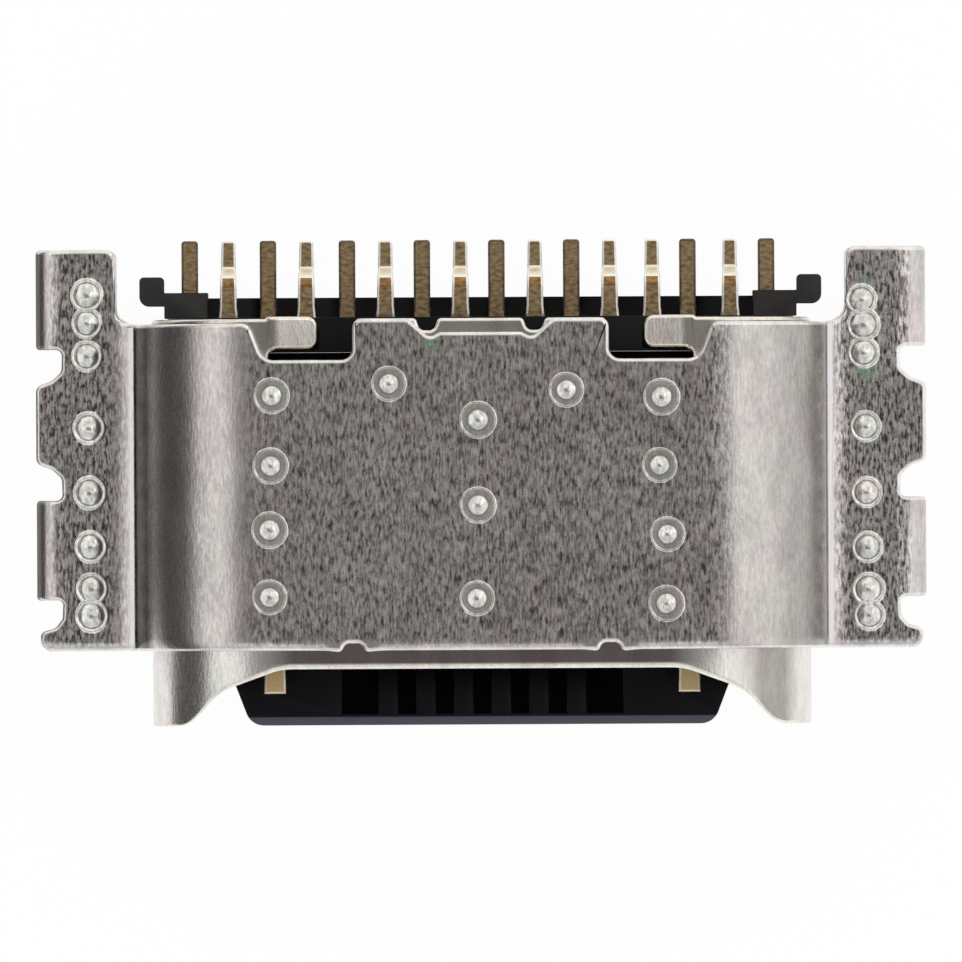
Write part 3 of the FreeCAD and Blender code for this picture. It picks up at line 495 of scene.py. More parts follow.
def blank(corners):
    """A flat sheet from corners (x, y, radius), counter-clockwise."""
    bm = bmesh.new()
    points = [bm.verts.new((x, y, 0)) for x, y, radius in corners]
    bm.faces.new(points)
    for point, (x, y, radius) in zip(points, corners):
        if radius:
            sides = [edge.other_vert(point).co - point.co for edge in point.link_edges]
            reach = radius / math.tan(sides[0].angle(sides[1]) / 2)
            bmesh.ops.bevel(bm, geom=[point], offset=reach, offset_type="OFFSET", segments=CORNER_STEPS,
                            profile=0.5, affect="VERTICES", material=-1)
    return bm


def both_sides(half):
    """The whole outline from its right half, front to rear."""
    return half + [(-x, y, radius) for x, y, radius in reversed(half)]


def mirrored(places):
    """Places on the right and the same on the left."""
    return list(places) + [-place for place in places]


def cut_across(bm, places, normal=(1, 0, 0), within=None):
    """Cuts faces along planes at the places along the normal: all, or those whose middle is within."""
    for place in places:
        faces = [face for face in bm.faces if within is None or within(face.calc_center_median())]
        around = {part for face in faces for part in (*face.edges, *face.verts)}
        bmesh.ops.bisect_plane(bm, geom=faces + list(around), dist=1e-5, plane_co=Vector(normal) * place,
                               plane_no=normal)


# %% Following the bends
def walk(parts, length):
    """Follows a bent strip for a length. Parts are (length, turn), a turn in radians and down.
    Returns how far that leads sideways and up."""
    x, z, heading = 0.0, 0.0, 0.0
    for part_length, turn in parts:
        step = min(length, part_length)
        if turn:
            radius = part_length / turn
            after = heading + turn * step / part_length
            x += radius * (math.sin(after) - math.sin(heading))
            z += radius * (math.cos(after) - math.cos(heading))
            heading = after
        else:
            x += step * math.cos(heading)
            z -= step * math.sin(heading)
        length -= step
        if length <= 0:
            break
    return x, z


def bend_places(parts, steps_per_radian=9):
    """Where a strip is cut so that each bend turns in small steps."""
    places, start = [], 0.0
    for length, turn in parts:
        if turn:
            count = max(2, math.ceil(abs(turn) * steps_per_radian))
            places += [start + length * step / count for step in range(count + 1)]
        start += length
    return places


# %% [markdown]
# ## Thickness and edges
# The modifiers that give a sheet its wall and round its edges are used here as tools: each is put
# on a draft, and the draft's finished mesh goes on. A stamped sheet has a wide roll-over on the
# side where the punch came in and a crisp edge on the other, so every sharp edge gets a width of
# its own, which the bevel reads as a weight.

# %% Drafts
OUTER_SIDE, INNER_SIDE, RIM = 0, 1, 2
SHARP = math.radians(32)


def drafted(bm, name, materials, add_modifier):
    """The mesh that a modifier makes of a bmesh."""
    mesh = bpy.data.meshes.new(name)
    bm.normal_update()
    bm.to_mesh(mesh)
    bm.free()
    for material in materials:
        mesh.materials.append(material)
    mesh.shade_smooth()
    draft = new_object(name, mesh)
    add_modifier(draft.modifiers)
    made = bpy.data.meshes.new_from_object(draft.evaluated_get(bpy.context.evaluated_depsgraph_get()))
    bpy.data.objects.remove(draft)
    return made


def thicken(bm, materials, wall):
    """A bent sheet with its wall, each face marked as outer side, inner side or rim."""

    def add_wall(modifiers):
        solid = modifiers.new("wall", "SOLIDIFY")
        solid.thickness = wall
        solid.offset = -1
        solid.use_even_offset = True
        solid.material_offset = INNER_SIDE
        solid.material_offset_rim = RIM

    thick = bmesh.new()
    thick.from_mesh(drafted(bm, "wall", materials, add_wall))
    thick.normal_update()
    return thick


# %% Edges and the frame
def weigh_edges(bm, widest, width_of):
    """Notes how wide each sharp edge is to be rounded. width_of gets its middle and its sides."""
    weight = bm.edges.layers.float.new("bevel_weight_edge")
    for edge in bm.edges:
        if len(edge.link_faces) == 2 and edge.calc_face_angle(0) > SHARP:
            sides = {face.material_index for face in edge.link_faces}
            middle = (edge.verts[0].co + edge.verts[1].co) / 2
            edge[weight] = width_of(middle, OUTER_SIDE in sides) / widest


def finish_piece(bm, name, materials, nodes=(), widest=0.0, segments=4, edge_finish=-1):
    """Rounds the weighed edges, brings the piece to metres and joins it to the frame."""

    def add_edges(modifiers):
        if widest:
            soften = modifiers.new("edges", "BEVEL")
            soften.width = widest
            soften.segments = segments
            soften.limit_method = "WEIGHT"
            soften.use_clamp_overlap = False
            soften.harden_normals = True
            soften.material = edge_finish

    finished = drafted(bm, name, materials, add_edges)
    finished.transform(Matrix.Scale(MM, 4))
    piece = new_object(name, finished)
    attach(piece, "root")
    if nodes:
        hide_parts(*nodes)
    print(name, "has", len(finished.polygons), "faces")
    return piece


# %% [markdown]
# ## Upper cover
# From the middle outwards the cover is flat, turns down round the shell, folds back out into a
# flange, and at four places turns down again into a leg. The list of bends is the whole form,
# and the outline is its developed shape, front to rear.

# %% Bends of the cover
# The fold into the flange starts in a tight crease and ends in a gentle one.
CREASE, EASY = 0.06, 0.85
EASY_TURN = math.radians(25)
SHOULDER_TURN = math.acos((CREASE * math.cos(EASY_TURN) + EASY * (1 - math.cos(EASY_TURN)))
                          / (COVER_RADIUS + CREASE))
SHOULDER = [(BEND_CENTRE, 0), (COVER_RADIUS * SHOULDER_TURN, SHOULDER_TURN),
            (CREASE * (SHOULDER_TURN - EASY_TURN), EASY_TURN - SHOULDER_TURN),
            (EASY * EASY_TURN, -EASY_TURN)]
SHOULDER_END = sum(length for length, turn in SHOULDER)
FLANGE_START, SHOULDER_DROP = walk(SHOULDER, SHOULDER_END)
print("the flange starts at", round(FLANGE_START, 3), "and lies at", round(COVER_RADIUS + SHOULDER_DROP, 4))

# A leg also bends in two steps, a wide one and then a tight one.
LEG_WIDE, LEG_TIGHT = 0.56, 0.256
WIDE_TURN = math.radians(31)
TIGHT_TURN = math.pi / 2 - WIDE_TURN
LEG_BENDS = [(LEG_WIDE * WIDE_TURN, WIDE_TURN), (LEG_TIGHT * TIGHT_TURN, TIGHT_TURN)]
LEG_SPAN, LEG_FALL = walk(LEG_BENDS, sum(length for length, turn in LEG_BENDS))
FLANGE_LENGTH = LEG_FACE - LEG_SPAN - FLANGE_START
LEG_LENGTH = LEG_FALL - LEG_TIP
LEG_PARTS = SHOULDER + [(FLANGE_LENGTH, 0)] + LEG_BENDS + [(LEG_LENGTH, 0)]
FLAT_PARTS = SHOULDER + [(FLANGE_LENGTH + LEG_LENGTH, 0)]

# %% Outline of the cover
FRONT_LEG = (1.67, 3.00)
REAR_LEG = (5.00, WING_REAR)
LEG_ZONES = (FRONT_LEG[0] - 0.10, FRONT_LEG[1] + 0.10, REAR_LEG[0] - 0.10)
COVER_REAR = SHELL_REAR - 0.06
NOTCH_FLOOR = SHELL_REAR - 0.545
RELIEF = 0.34
LEG_TAPER = 0.22

# The front edge rolls over gently: how far it drops, and where the blank is cut for it. The
# columns with the two round bites stay flat and whole, and the roll fades out beside them.
ROLL_DROP = 0.055
ROLL_LINES = (0.09, 0.14, 0.185)
BITE_COLUMN = (1.42, 1.98)
ROLL_FADE = 0.12


def spread(x):
    """How far out in the blank a point lies that ends up at x on the flange."""
    return SHOULDER_END + x - FLANGE_START


def leg_corners(tip, front, rear):
    """The end of a leg in the blank, narrowed towards its tip."""
    return [(tip - 2 * LEG_TAPER, front, 0.08), (tip, front + LEG_TAPER, 0.08),
            (tip, rear - LEG_TAPER, 0.08), (tip - 2 * LEG_TAPER, rear, 0.08)]


def cover_outline():
    """Right half of the blank, from the front edge to the rear edge."""
    relief = spread(LEG_FACE - RELIEF)
    tip = sum(length for length, turn in LEG_PARTS)
    lobe = spread(LEG_FACE)
    front = [(1.54, COVER_FRONT, 0.07), (1.60, COVER_FRONT + 0.11, 0.09), (1.80, COVER_FRONT + 0.11, 0.09),
             (1.86, COVER_FRONT, 0.07), (lobe - 0.05, COVER_FRONT, 0.15), (lobe - 0.05, 1.25, 0.08),
             (spread(5.66), 1.31, 0.12), (relief, 1.43, 0.06), (relief, FRONT_LEG[0], 0.07)]
    leg = leg_corners(tip, *FRONT_LEG) + [(relief, FRONT_LEG[1], 0.09)]
    lobe_side = [(relief, FRONT_LEG[1] + 0.29, 0.09), (spread(5.70), FRONT_LEG[1] + 0.41, 0.15),
                 (lobe, FRONT_LEG[1] + 0.49, 0.10), (lobe, REAR_LEG[0] - 0.49, 0.10),
                 (spread(5.70), REAR_LEG[0] - 0.41, 0.15), (relief, REAR_LEG[0] - 0.29, 0.09)]
    rear_leg = [(relief, REAR_LEG[0], 0.09)] + leg_corners(tip, *REAR_LEG)
    wing = [(spread(4.86), WING_REAR, 0.12), (spread(4.86), COVER_REAR, 0.24)]
    notch = [(3.07, COVER_REAR, 0.16), (2.88, NOTCH_FLOOR, 0.20), (1.70, NOTCH_FLOOR, 0.15),
             (1.70, SHELL_REAR, 0.13), (0.96, SHELL_REAR, 0.13), (0.68, 5.13, 0.10), (0.54, 5.205, 0.06)]
    return front + leg + lobe_side + rear_leg + wing + notch


# %% Folding the cover
HAIR = 0.001
CORNER_COLUMN = spread(LEG_FACE) - 0.24
BEHIND_BITES = NOTCH_FLOOR - 0.15
LEG_CLEARANCE = 0.16
EDGE, SIDE_EDGE, UNDER_EDGE = 0.06, 0.05, 0.02
FRONT_ZONE = 0.12


def place_cover(x, y):
    """Where a point of the blank ends up on the folded cover."""
    side = 1 if x > 0 else -1
    parts = LEG_PARTS if on_a_leg(y) else FLAT_PARTS
    out, down = walk(parts, abs(x))
    next_out, next_down = walk(parts, abs(x) + HAIR)
    along = Vector((next_out - out, next_down - down)).normalized()
    from_bite = max(BITE_COLUMN[0] - abs(x), abs(x) - BITE_COLUMN[1], 0.0)
    roll = ROLL_DROP * max(0.0, 1 - (y - COVER_FRONT) / ROLL_LINES[-1]) ** 2
    roll *= min(1.0, from_bite / ROLL_FADE)
    return side * (out + along.y * roll), y, COVER_RADIUS + down - along.x * roll


def on_a_leg(y):
    """Whether a place is on a leg, or on the round corner beside it."""
    return LEG_ZONES[0] - HAIR < y < LEG_ZONES[1] + HAIR or y > LEG_ZONES[2] - HAIR


def in_bite_column(point):
    """Whether a place lies in line with one of the round bites."""
    return BITE_COLUMN[0] < abs(point.x) < BITE_COLUMN[1]


def cover_edge(middle, outer):
    """How wide an edge of the cover is rounded: most at both ends, least underneath."""
    if not outer:
        return UNDER_EDGE
    return EDGE if middle.y < COVER_FRONT + FRONT_ZONE or middle.y > COVER_REAR else SIDE_EDGE


# %% Upper cover
# The cuts keep clear of the round corners, because slivers there would spoil the soft edges.
ROLL_REAR = COVER_FRONT + ROLL_LINES[-1]
cover_bm = blank(both_sides(cover_outline()))
cut_across(cover_bm, mirrored([*BITE_COLUMN, *bend_places(SHOULDER)]))
cut_across(cover_bm, [ROLL_REAR], ALONG, within=lambda point: not in_bite_column(point))
cut_across(cover_bm, [BEHIND_BITES], ALONG, within=in_bite_column)
fades = [BITE_COLUMN[0] - ROLL_FADE, BITE_COLUMN[1] + ROLL_FADE, CORNER_COLUMN]
cut_across(cover_bm, mirrored(fades), within=lambda point: point.y < ROLL_REAR)
cut_across(cover_bm, [COVER_FRONT + line for line in ROLL_LINES[:-1]], ALONG,
           within=lambda point: point.y < ROLL_REAR and abs(point.x) < CORNER_COLUMN)
cut_across(cover_bm, LEG_ZONES, ALONG, within=lambda point: abs(point.x) > SHOULDER_END)
leg_start = SHOULDER_END + FLANGE_LENGTH
leg_bends = [place for place in bend_places(LEG_PARTS) if place > leg_start + LEG_CLEARANCE]
cut_across(cover_bm, mirrored([leg_start, *leg_bends]), within=lambda point: on_a_leg(point.y))
for vert in cover_bm.verts:
    vert.co = place_cover(vert.co.x, vert.co.y)
SHEET_METALS = [cover_metal, cover_metal, cut_metal, edge_metal]
cover_bm = thicken(cover_bm, SHEET_METALS, WALL)
weigh_edges(cover_bm, EDGE, cover_edge)
finish_piece(cover_bm, "folded_cover", SHEET_METALS, ["upper_cover"], widest=EDGE,
             edge_finish=3)

# %% [markdown]
# ## Lower bracket
# The bracket is the same kind of fold, upside down. Its flange lies under that of the cover, one
# sheet lower, so its shoulders turn less far.

# %% Lower bracket
BRACKET_LEVEL = 2 * WALL
BRACKET_RISE = (BRACKET_LEVEL + FOLD_RADIUS) / (COVER_RADIUS + FOLD_RADIUS)
BRACKET_TURN = math.pi / 2 - math.asin(BRACKET_RISE)
BRACKET_START = BEND_CENTRE + (COVER_RADIUS + FOLD_RADIUS) * math.cos(math.asin(BRACKET_RISE))
BRACKET_SIDE = [(BEND_CENTRE, 0), (COVER_RADIUS * BRACKET_TURN, BRACKET_TURN),
                (FOLD_RADIUS * BRACKET_TURN, -BRACKET_TURN)]
BRACKET_END = sum(length for length, turn in BRACKET_SIDE)
BRACKET_REACH = BRACKET_END + bracket_high.x - BRACKET_START
WING_INNER = 4.98
BRACKET_GAP = BRACKET_END + WING_INNER - BRACKET_START
BRACKET_EDGE = 0.04

bracket_half = [(BRACKET_REACH, bracket_low.y, 0.1), (BRACKET_REACH, bracket_high.y, 0.1),
                (BRACKET_GAP, bracket_high.y, 0.1), (BRACKET_GAP, COVER_REAR - 0.12, 0.24)]
bracket_bm = blank(both_sides(bracket_half))
cut_across(bracket_bm, mirrored(bend_places(BRACKET_SIDE)))
for vert in bracket_bm.verts:
    out, down = walk(BRACKET_SIDE + [(BRACKET_REACH, 0)], abs(vert.co.x))
    vert.co = (math.copysign(out, vert.co.x), vert.co.y, -COVER_RADIUS - down)
bmesh.ops.reverse_faces(bracket_bm, faces=bracket_bm.faces[:])
bracket_bm = thicken(bracket_bm, SHEET_METALS, WALL)
weigh_edges(bracket_bm, BRACKET_EDGE, lambda middle, outer: BRACKET_EDGE if outer else UNDER_EDGE)
finish_piece(bracket_bm, "folded_bracket", SHEET_METALS, ["lower_bracket"],
             widest=BRACKET_EDGE, segments=3)

# %% [markdown]
# ## Inner shell
# The shell is one drawn tube. Its upper and lower halves are bent from two blanks that meet at
# the sides and are then merged. Towards the mouth the drawn sides are a little flatter than a
# half circle. The lobed mouth is trimmed last, straight down through the finished tube, so the
# rim is moved to the trimming line only after the sheet has its wall. Only the upper half has the
# windows at the rear, with a catch tab bent down in each.

# %% Shell sizes
SHELL_SIDE = [(BEND_CENTRE, 0), (SHELL_RADIUS * math.pi / 2, math.pi / 2)]
SIDE_LINE = sum(length for length, turn in SHELL_SIDE)
TOP_RADIUS, SIDE_RADIUS = 1.79, 1.30
TOP_TURN = math.radians(50.7)
REST_TURN = math.pi / 2 - TOP_TURN
MOUTH_SIDE = [(2.69, 0), (TOP_RADIUS * TOP_TURN, TOP_TURN), (SIDE_RADIUS * REST_TURN, REST_TURN)]
MOUTH_STRETCH = sum(length for length, turn in MOUTH_SIDE) / SIDE_LINE
WINDOW_FLOOR = SHELL_REAR - 0.58
WINDOW_SIDE = BEND_CENTRE - 0.08
TAB_TIP = BEND_CENTRE - 0.76
TAB_FRONT = CATCH_REAR - 0.43
TAB_PARTS = [(0.04, 0), (0.11, 0.28), (1.0, 0)]
TAB_STEP, TAB_STEPS = 0.02, 7
MOUTH_STEP, MOUTH_STEPS = 0.06, 13
HIDDEN_LINE = COVER_FRONT + 0.5
BLEND_LINE = COVER_FRONT + 0.2

# The trimming line of the mouth: places (x, y), joined by straight lines and then rounded
MOUTH_LINE = ((0, 0.75), (2.66, 0.75), (3.50, 0.45), (3.88, 0), (6, 0))
MOUTH_ROUND = 0.14
ROUND_SAMPLES = 15


def mouth_depth(x):
    """How far back the rim lies at a distance from the middle."""
    total = 0
    for step in range(ROUND_SAMPLES):
        place = max(0.0, x + MOUTH_ROUND * (2 * step / (ROUND_SAMPLES - 1) - 1))
        for (x0, y0), (x1, y1) in zip(MOUTH_LINE, MOUTH_LINE[1:]):
            if x0 <= place <= x1:
                total += y0 + (y1 - y0) * (place - x0) / (x1 - x0)
                break
    return total / ROUND_SAMPLES


# %% Outline and bends of the shell
def shell_rear():
    """Right half of the rear edge, from the side: the tab, the window and the round bite."""
    tab = [(WINDOW_SIDE + 0.05, SHELL_REAR, 0), (WINDOW_SIDE, CATCH_REAR, 0.03),
           (TAB_TIP, CATCH_REAR, 0.14), (TAB_TIP, TAB_FRONT, 0.14), (WINDOW_SIDE, TAB_FRONT, 0.11)]
    window = [(WINDOW_SIDE, WINDOW_FLOOR, 0.04), (1.66, WINDOW_FLOOR, 0.12), (1.66, SHELL_REAR, 0.06)]
    bite = [(0.86, SHELL_REAR, 0.06), (0.80, SHELL_REAR - 0.16, 0.09), (0.62, SHELL_REAR - 0.16, 0.09),
            (0.56, SHELL_REAR, 0.06)]
    return tab + window + bite


def place_shell(x, y):
    """Where a point of the upper blank ends up. The catch tabs bend down towards their tips."""
    inwards = WINDOW_SIDE - abs(x)
    if y > TAB_FRONT - 0.01 and 0 < inwards < 1:
        out, down = walk(TAB_PARTS, inwards)
        return math.copysign(WINDOW_SIDE - out, x), y, SHELL_RADIUS + down
    if y < HIDDEN_LINE:
        out, down = walk(MOUTH_SIDE, abs(x) * MOUTH_STRETCH)
    else:
        out, down = walk(SHELL_SIDE, abs(x))
    return math.copysign(out, x), y, SHELL_RADIUS + down


def shell_half(rear, lower):
    """One bent half of the shell."""
    bm = blank(both_sides([(SIDE_LINE, 0, 0), (SIDE_LINE, SHELL_REAR, 0)] + rear))
    cut_across(bm, (BLEND_LINE, HIDDEN_LINE), ALONG)
    cut_across(bm, mirrored(bend_places(SHELL_SIDE, steps_per_radian=24)[:-1]))
    tab_cuts = [WINDOW_SIDE - TAB_PARTS[0][0] - step * TAB_STEP for step in range(TAB_STEPS)]
    cut_across(bm, mirrored(tab_cuts), within=lambda point: point.y > TAB_FRONT)
    mouth_cuts = [BEND_CENTRE - step * MOUTH_STEP for step in range(1, MOUTH_STEPS + 1)]
    cut_across(bm, mirrored(mouth_cuts), within=lambda point: point.y < HIDDEN_LINE)
    for vert in bm.verts:
        x, y, z = place_shell(vert.co.x, vert.co.y)
        vert.co = (x, y, -z if lower else z)
    if lower:
        bmesh.ops.reverse_faces(bm, faces=bm.faces[:])
    half = bpy.data.meshes.new("shell_half")
    bm.to_mesh(half)
    bm.free()
    return half


# %% Inner shell
LIP_EDGE, LOBE_EDGE, SHELL_EDGE = 0.075, 0.035, 0.045
LIP_END = 3.45


def shell_edge(middle, outer):
    """How wide an edge of the shell is rounded: most along the lip, less beside it."""
    if not outer:
        return UNDER_EDGE
    if middle.y < COVER_FRONT:
        return LIP_EDGE if abs(middle.x) < LIP_END else LOBE_EDGE
    return SHELL_EDGE


shell_bm = bmesh.new()
shell_bm.from_mesh(shell_half(shell_rear(), False))
shell_bm.from_mesh(shell_half([], True))
bmesh.ops.remove_doubles(shell_bm, verts=shell_bm.verts[:], dist=0.001)
SHELL_METALS = [shell_metal, shell_metal, cut_metal, rim_metal]
shell_bm = thicken(shell_bm, SHELL_METALS, WALL)
for vert in shell_bm.verts:
    if vert.co.y < 0.01:
        vert.co.y = mouth_depth(abs(vert.co.x))
weigh_edges(shell_bm, LIP_EDGE, shell_edge)
finish_piece(shell_bm, "drawn_shell", SHELL_METALS, ["inner_shell"], widest=LIP_EDGE,
             edge_finish=3)

# %% [markdown]
# ## Weld spots
# Each spot is a little round landscape: a thin raised ring where the electrode pressed, a dull
# scorched hollow inside it, and a bright dome with a pit just above its middle. One profile,
# spun round, gives a spot, and the places are those of the photograph.

# %% Weld spots
ROOF_SPOTS = ((272, 396), (389, 384), (478, 420), (566, 390), (661, 397), (271, 466), (659, 465),
              (270, 530), (667, 534), (478, 505), (270, 597), (477, 598), (666, 603))
WING_SPOTS = ((86, 295), (86, 323), (86, 356), (88, 428), (89, 493), (90, 547), (91, 589), (91, 616),
              (862, 299), (864, 324), (864, 352), (866, 426), (867, 492), (868, 547), (869, 589),
              (870, 615))
# Profiles of a spot, from its rim to its middle: (radius, height)
ROOF_PROFILE = ((0.254, -0.02), (0.252, 0.001), (0.238, 0.008), (0.232, 0.009), (0.226, 0.008),
                (0.208, 0.001), (0.200, 0.001), (0.156, 0.002), (0.140, 0.001), (0.126, 0.004),
                (0.110, 0.010), (0.090, 0.018), (0.060, 0.031), (0.036, 0.040), (0.018, 0.044),
                (0.0, 0.045))
WING_PROFILE = ((0.232, -0.02), (0.230, 0.002), (0.203, 0.016), (0.200, 0.0165), (0.197, 0.016),
                (0.172, 0.003), (0.166, 0.001), (0.157, 0.002), (0.148, 0.012), (0.136, 0.022),
                (0.110, 0.035), (0.080, 0.048), (0.050, 0.060), (0.025, 0.068), (0.0, 0.070))
PIT_PLACE = Vector((0.005, 0.045))
PIT_REACH = 0.05
SPIN_STEPS = 28
dice = random.Random(7)


def spin_spot(bm, profile, centre, level, hollow, pit_depth):
    """Spins the profile round the centre. Faces between the hollow's radii are scorched."""
    spread_by = dice.uniform(0.95, 1.05)
    points = [bm.verts.new((centre[0] + radius * spread_by, centre[1], level + height))
              for radius, height in profile]
    lines = [bm.edges.new(pair) for pair in zip(points, points[1:])]
    bmesh.ops.spin(bm, geom=points + lines, cent=(*centre, level), axis=(0, 0, 1),
                   angle=2 * math.pi, steps=SPIN_STEPS, use_merge=True)
    faces = bm.faces[-SPIN_STEPS * len(lines):]
    for face in faces:
        middle = face.calc_center_median() - Vector((*centre, level))
        face.material_index = 1 if hollow[0] < middle.xy.length / spread_by < hollow[1] else 0
    for vert in {vert for face in faces for vert in face.verts}:
        offset = Vector((vert.co.x - centre[0], vert.co.y - centre[1])) - PIT_PLACE
        vert.co.z -= pit_depth * max(0.0, 1 - offset.length / PIT_REACH)


def make_spots(name, places, profile, level, hollow, pit_depth):
    """One piece with a spot at each place of the photograph."""
    bm = bmesh.new()
    for pixel in places:
        spin_spot(bm, profile, on_model(*pixel), level, hollow, pit_depth)
        bm.faces.ensure_lookup_table()
    bmesh.ops.remove_doubles(bm, verts=bm.verts[:], dist=0.0004)
    bmesh.ops.recalc_face_normals(bm, faces=bm.faces[:])
    finish_piece(bm, name, [weld_metal, scorched_metal])


make_spots("roof_weld_spots", ROOF_SPOTS, ROOF_PROFILE, COVER_RADIUS, (0.120, 0.156), 0.006)
make_spots("wing_weld_spots", WING_SPOTS, WING_PROFILE, 0.0, (0.150, 0.176), 0.010)

# %% [markdown]
# ## Contacts
# The contacts are stamped from thin brass strip and gilded, but the gilding on the tails is thin
# and brownish, and darker where they start to bend; the pale gilding of their steep drop is a
# painted highlight. A contact is again a blank that is bent, this time across its length.

# %% Contact material
GILT_MARKS = (12, 22, 3.0)
SMOOTHER = 0.5
TONGUE_END = (3.9, 4.0)


def gilt_metal(name, dark, light, roughness=0.35, in_front=None):
    """Thin gilding over brass, with fine marks. in_front is the colour on the tongue."""
    material, tree = new_material(name)
    place = add_node(tree, "TexCoord").outputs["Object"]
    marks = noise(tree, place, GILT_MARKS, SMOOTHER)
    base = colour_ramp(tree, marks, [(0.3, dark), (0.7, light)])
    if in_front:
        along = add_node(tree, "SeparateXYZ", {"Vector": place}).outputs["Y"]
        base = mix(tree, fade(tree, along, *TONGUE_END), in_front, base)
    shine = colour_ramp(tree, marks, [(0.3, roughness * 1.2), (0.7, roughness * 0.8)])
    end_material(tree, marks, GRAIN_DEPTH, {"Base Color": base, "Metallic": 1.0, "Roughness": shine}, 0.2)
    return material


tail_gilt = gilt_metal("tail_gilt", (0.26, 0.165, 0.07), (0.76, 0.56, 0.33))
tip_gilt = gilt_metal("tip_gilt", (0.95, 0.68, 0.30), (1.0, 0.80, 0.44), roughness=0.45)
# The pale gilding of the drop is a painted highlight; the gilding where the tails start to bend is darker
drop_highlight_gilt = gilt_metal("drop_highlight_gilt", (0.98, 0.92, 0.72), (1.0, 0.98, 0.88), roughness=0.55)
darker_bend_gilt = gilt_metal("darker_bend_gilt", (0.20, 0.10, 0.035), (0.40, 0.24, 0.11), roughness=0.45)
# The cut edges of the upper contacts are pale as a painted highlight; on the tongue they are gold
edge_highlight_gilt = gilt_metal("edge_highlight_gilt", (0.95, 0.90, 0.82), (1.0, 0.97, 0.93), roughness=0.5,
                       in_front=(1.0, 0.88, 0.68))
dull_edge = gilt_metal("dull_edge", (0.10, 0.08, 0.06), (0.20, 0.16, 0.12))

# %% Sizes of the contacts
PITCH = 0.5
TONGUE_PLACES = (-5.5, -2.5, -1.5, -0.5, 0.5, 1.5, 2.5, 5.5)
UPPER_TAILS = (-6.69, -4.62, -2.52, -0.53, 1.45, 3.43, 4.56, 6.63)
LOWER_TAILS = (-7.72, -5.64, -3.54, -1.55, 0.43, 2.42, 5.51, 7.60)
CONTACT_SHEET = 0.15
TAIL_TIP = SHELL_REAR + 1.05
TAIL_WALL = SHELL_REAR + 0.02
JOG_START, JOG_END = 4.14, TAIL_WALL - 0.12
STEP_FRONT = 4.04
BOARD = -2 * WALL
TONGUE_FACE = 0.35
OUTER_BEND = 0.195
INNER_BEND = 0.045
SLOPE = math.radians(80)
FOOT = 0.34
DROP = TONGUE_FACE - CONTACT_SHEET / 2 - (BOARD + CONTACT_SHEET / 2)
STEEP = (DROP - (OUTER_BEND + INNER_BEND) * (1 - math.cos(SLOPE))) / math.sin(SLOPE)
RUN = (OUTER_BEND + INNER_BEND) * math.sin(SLOPE) + STEEP * math.cos(SLOPE)
UPPER_WIDTHS = (0.245, 0.225, 0.185)
LOWER_WIDTHS = (0.265, 0.222, 0.222)
EDGE_WIDTH = 0.03
TIP_EDGE_WIDTH = 0.045
STEP_PARTS = [(TAIL_TIP - FOOT - RUN, 0), (OUTER_BEND * SLOPE, SLOPE), (STEEP, 0),
              (INNER_BEND * SLOPE, -SLOPE), (FOOT, 0)]
print("the upper tails step down by", round(DROP, 3), "mm")


# %% Outline and finish of a contact
# Width on the tongue and place of the tip, for the outermost contacts and the others
LONG, SHORT = (0.30, 0.407), (0.25, 0.95)
BURIED_WIDTH = 0.28


def contact_outline(place, tail, tail_widths, length):
    """The blank of a contact, from its tip on the tongue to the end of its tail."""
    width, tip = LONG if abs(place) == max(TONGUE_PLACES) else SHORT
    front, rear = place * PITCH, tail * PITCH
    root, neck, end = tail_widths
    stations = ((front, width * 1.06, tip, 0), (front, width, tip + 0.3, 0), (front, width, JOG_START, 0),
                (rear, BURIED_WIDTH, JOG_END, 0), (rear, root, TAIL_WALL + 0.04, 0.03),
                (rear, neck, TAIL_WALL + 0.14, 0.03), (rear, (neck + end) / 2, length - 0.55, 0.2),
                (rear, end, length, 0.045))
    right = [(x + width / 2, y, radius) for x, width, y, radius in stations]
    left = [(x - width / 2, y, radius) for x, width, y, radius in stations]
    return right + left[::-1]


# How steep a face has to be for the pale gilding of the drop, a painted highlight, and for the
# darker gilding above it
DROP_STEEPEST, DROP_LEAST = 0.75, 0.12
UPPER_HALF = -0.1


def paint_contact(bm, upper):
    """Gives each side of a contact its finish: bright tip, brown tail, and its own cut edges."""
    for face in bm.faces:
        middle = face.calc_center_median()
        if middle.y < STEP_FRONT:
            face.material_index = 1
        # Cut edges: a painted highlight on the upper row, dark on the lower
        elif face.material_index == RIM:
            face.material_index = 3 if upper else 4
        else:
            high = middle.z > UPPER_HALF
            # Steep faces of the drop get the painted highlight, those above it the darker gilding
            if upper and face.normal.y > (DROP_STEEPEST if high else DROP_LEAST):
                face.material_index = 2
            elif upper and high and face.normal.y > DROP_LEAST:
                face.material_index = 5
            else:
                face.material_index = 0


def contact_edge(middle, outer):
    """How wide an edge of a contact is rounded: most round its tip."""
    if not outer:
        return EDGE_WIDTH / 2
    return TIP_EDGE_WIDTH if middle.y < STEP_FRONT - 0.1 else EDGE_WIDTH


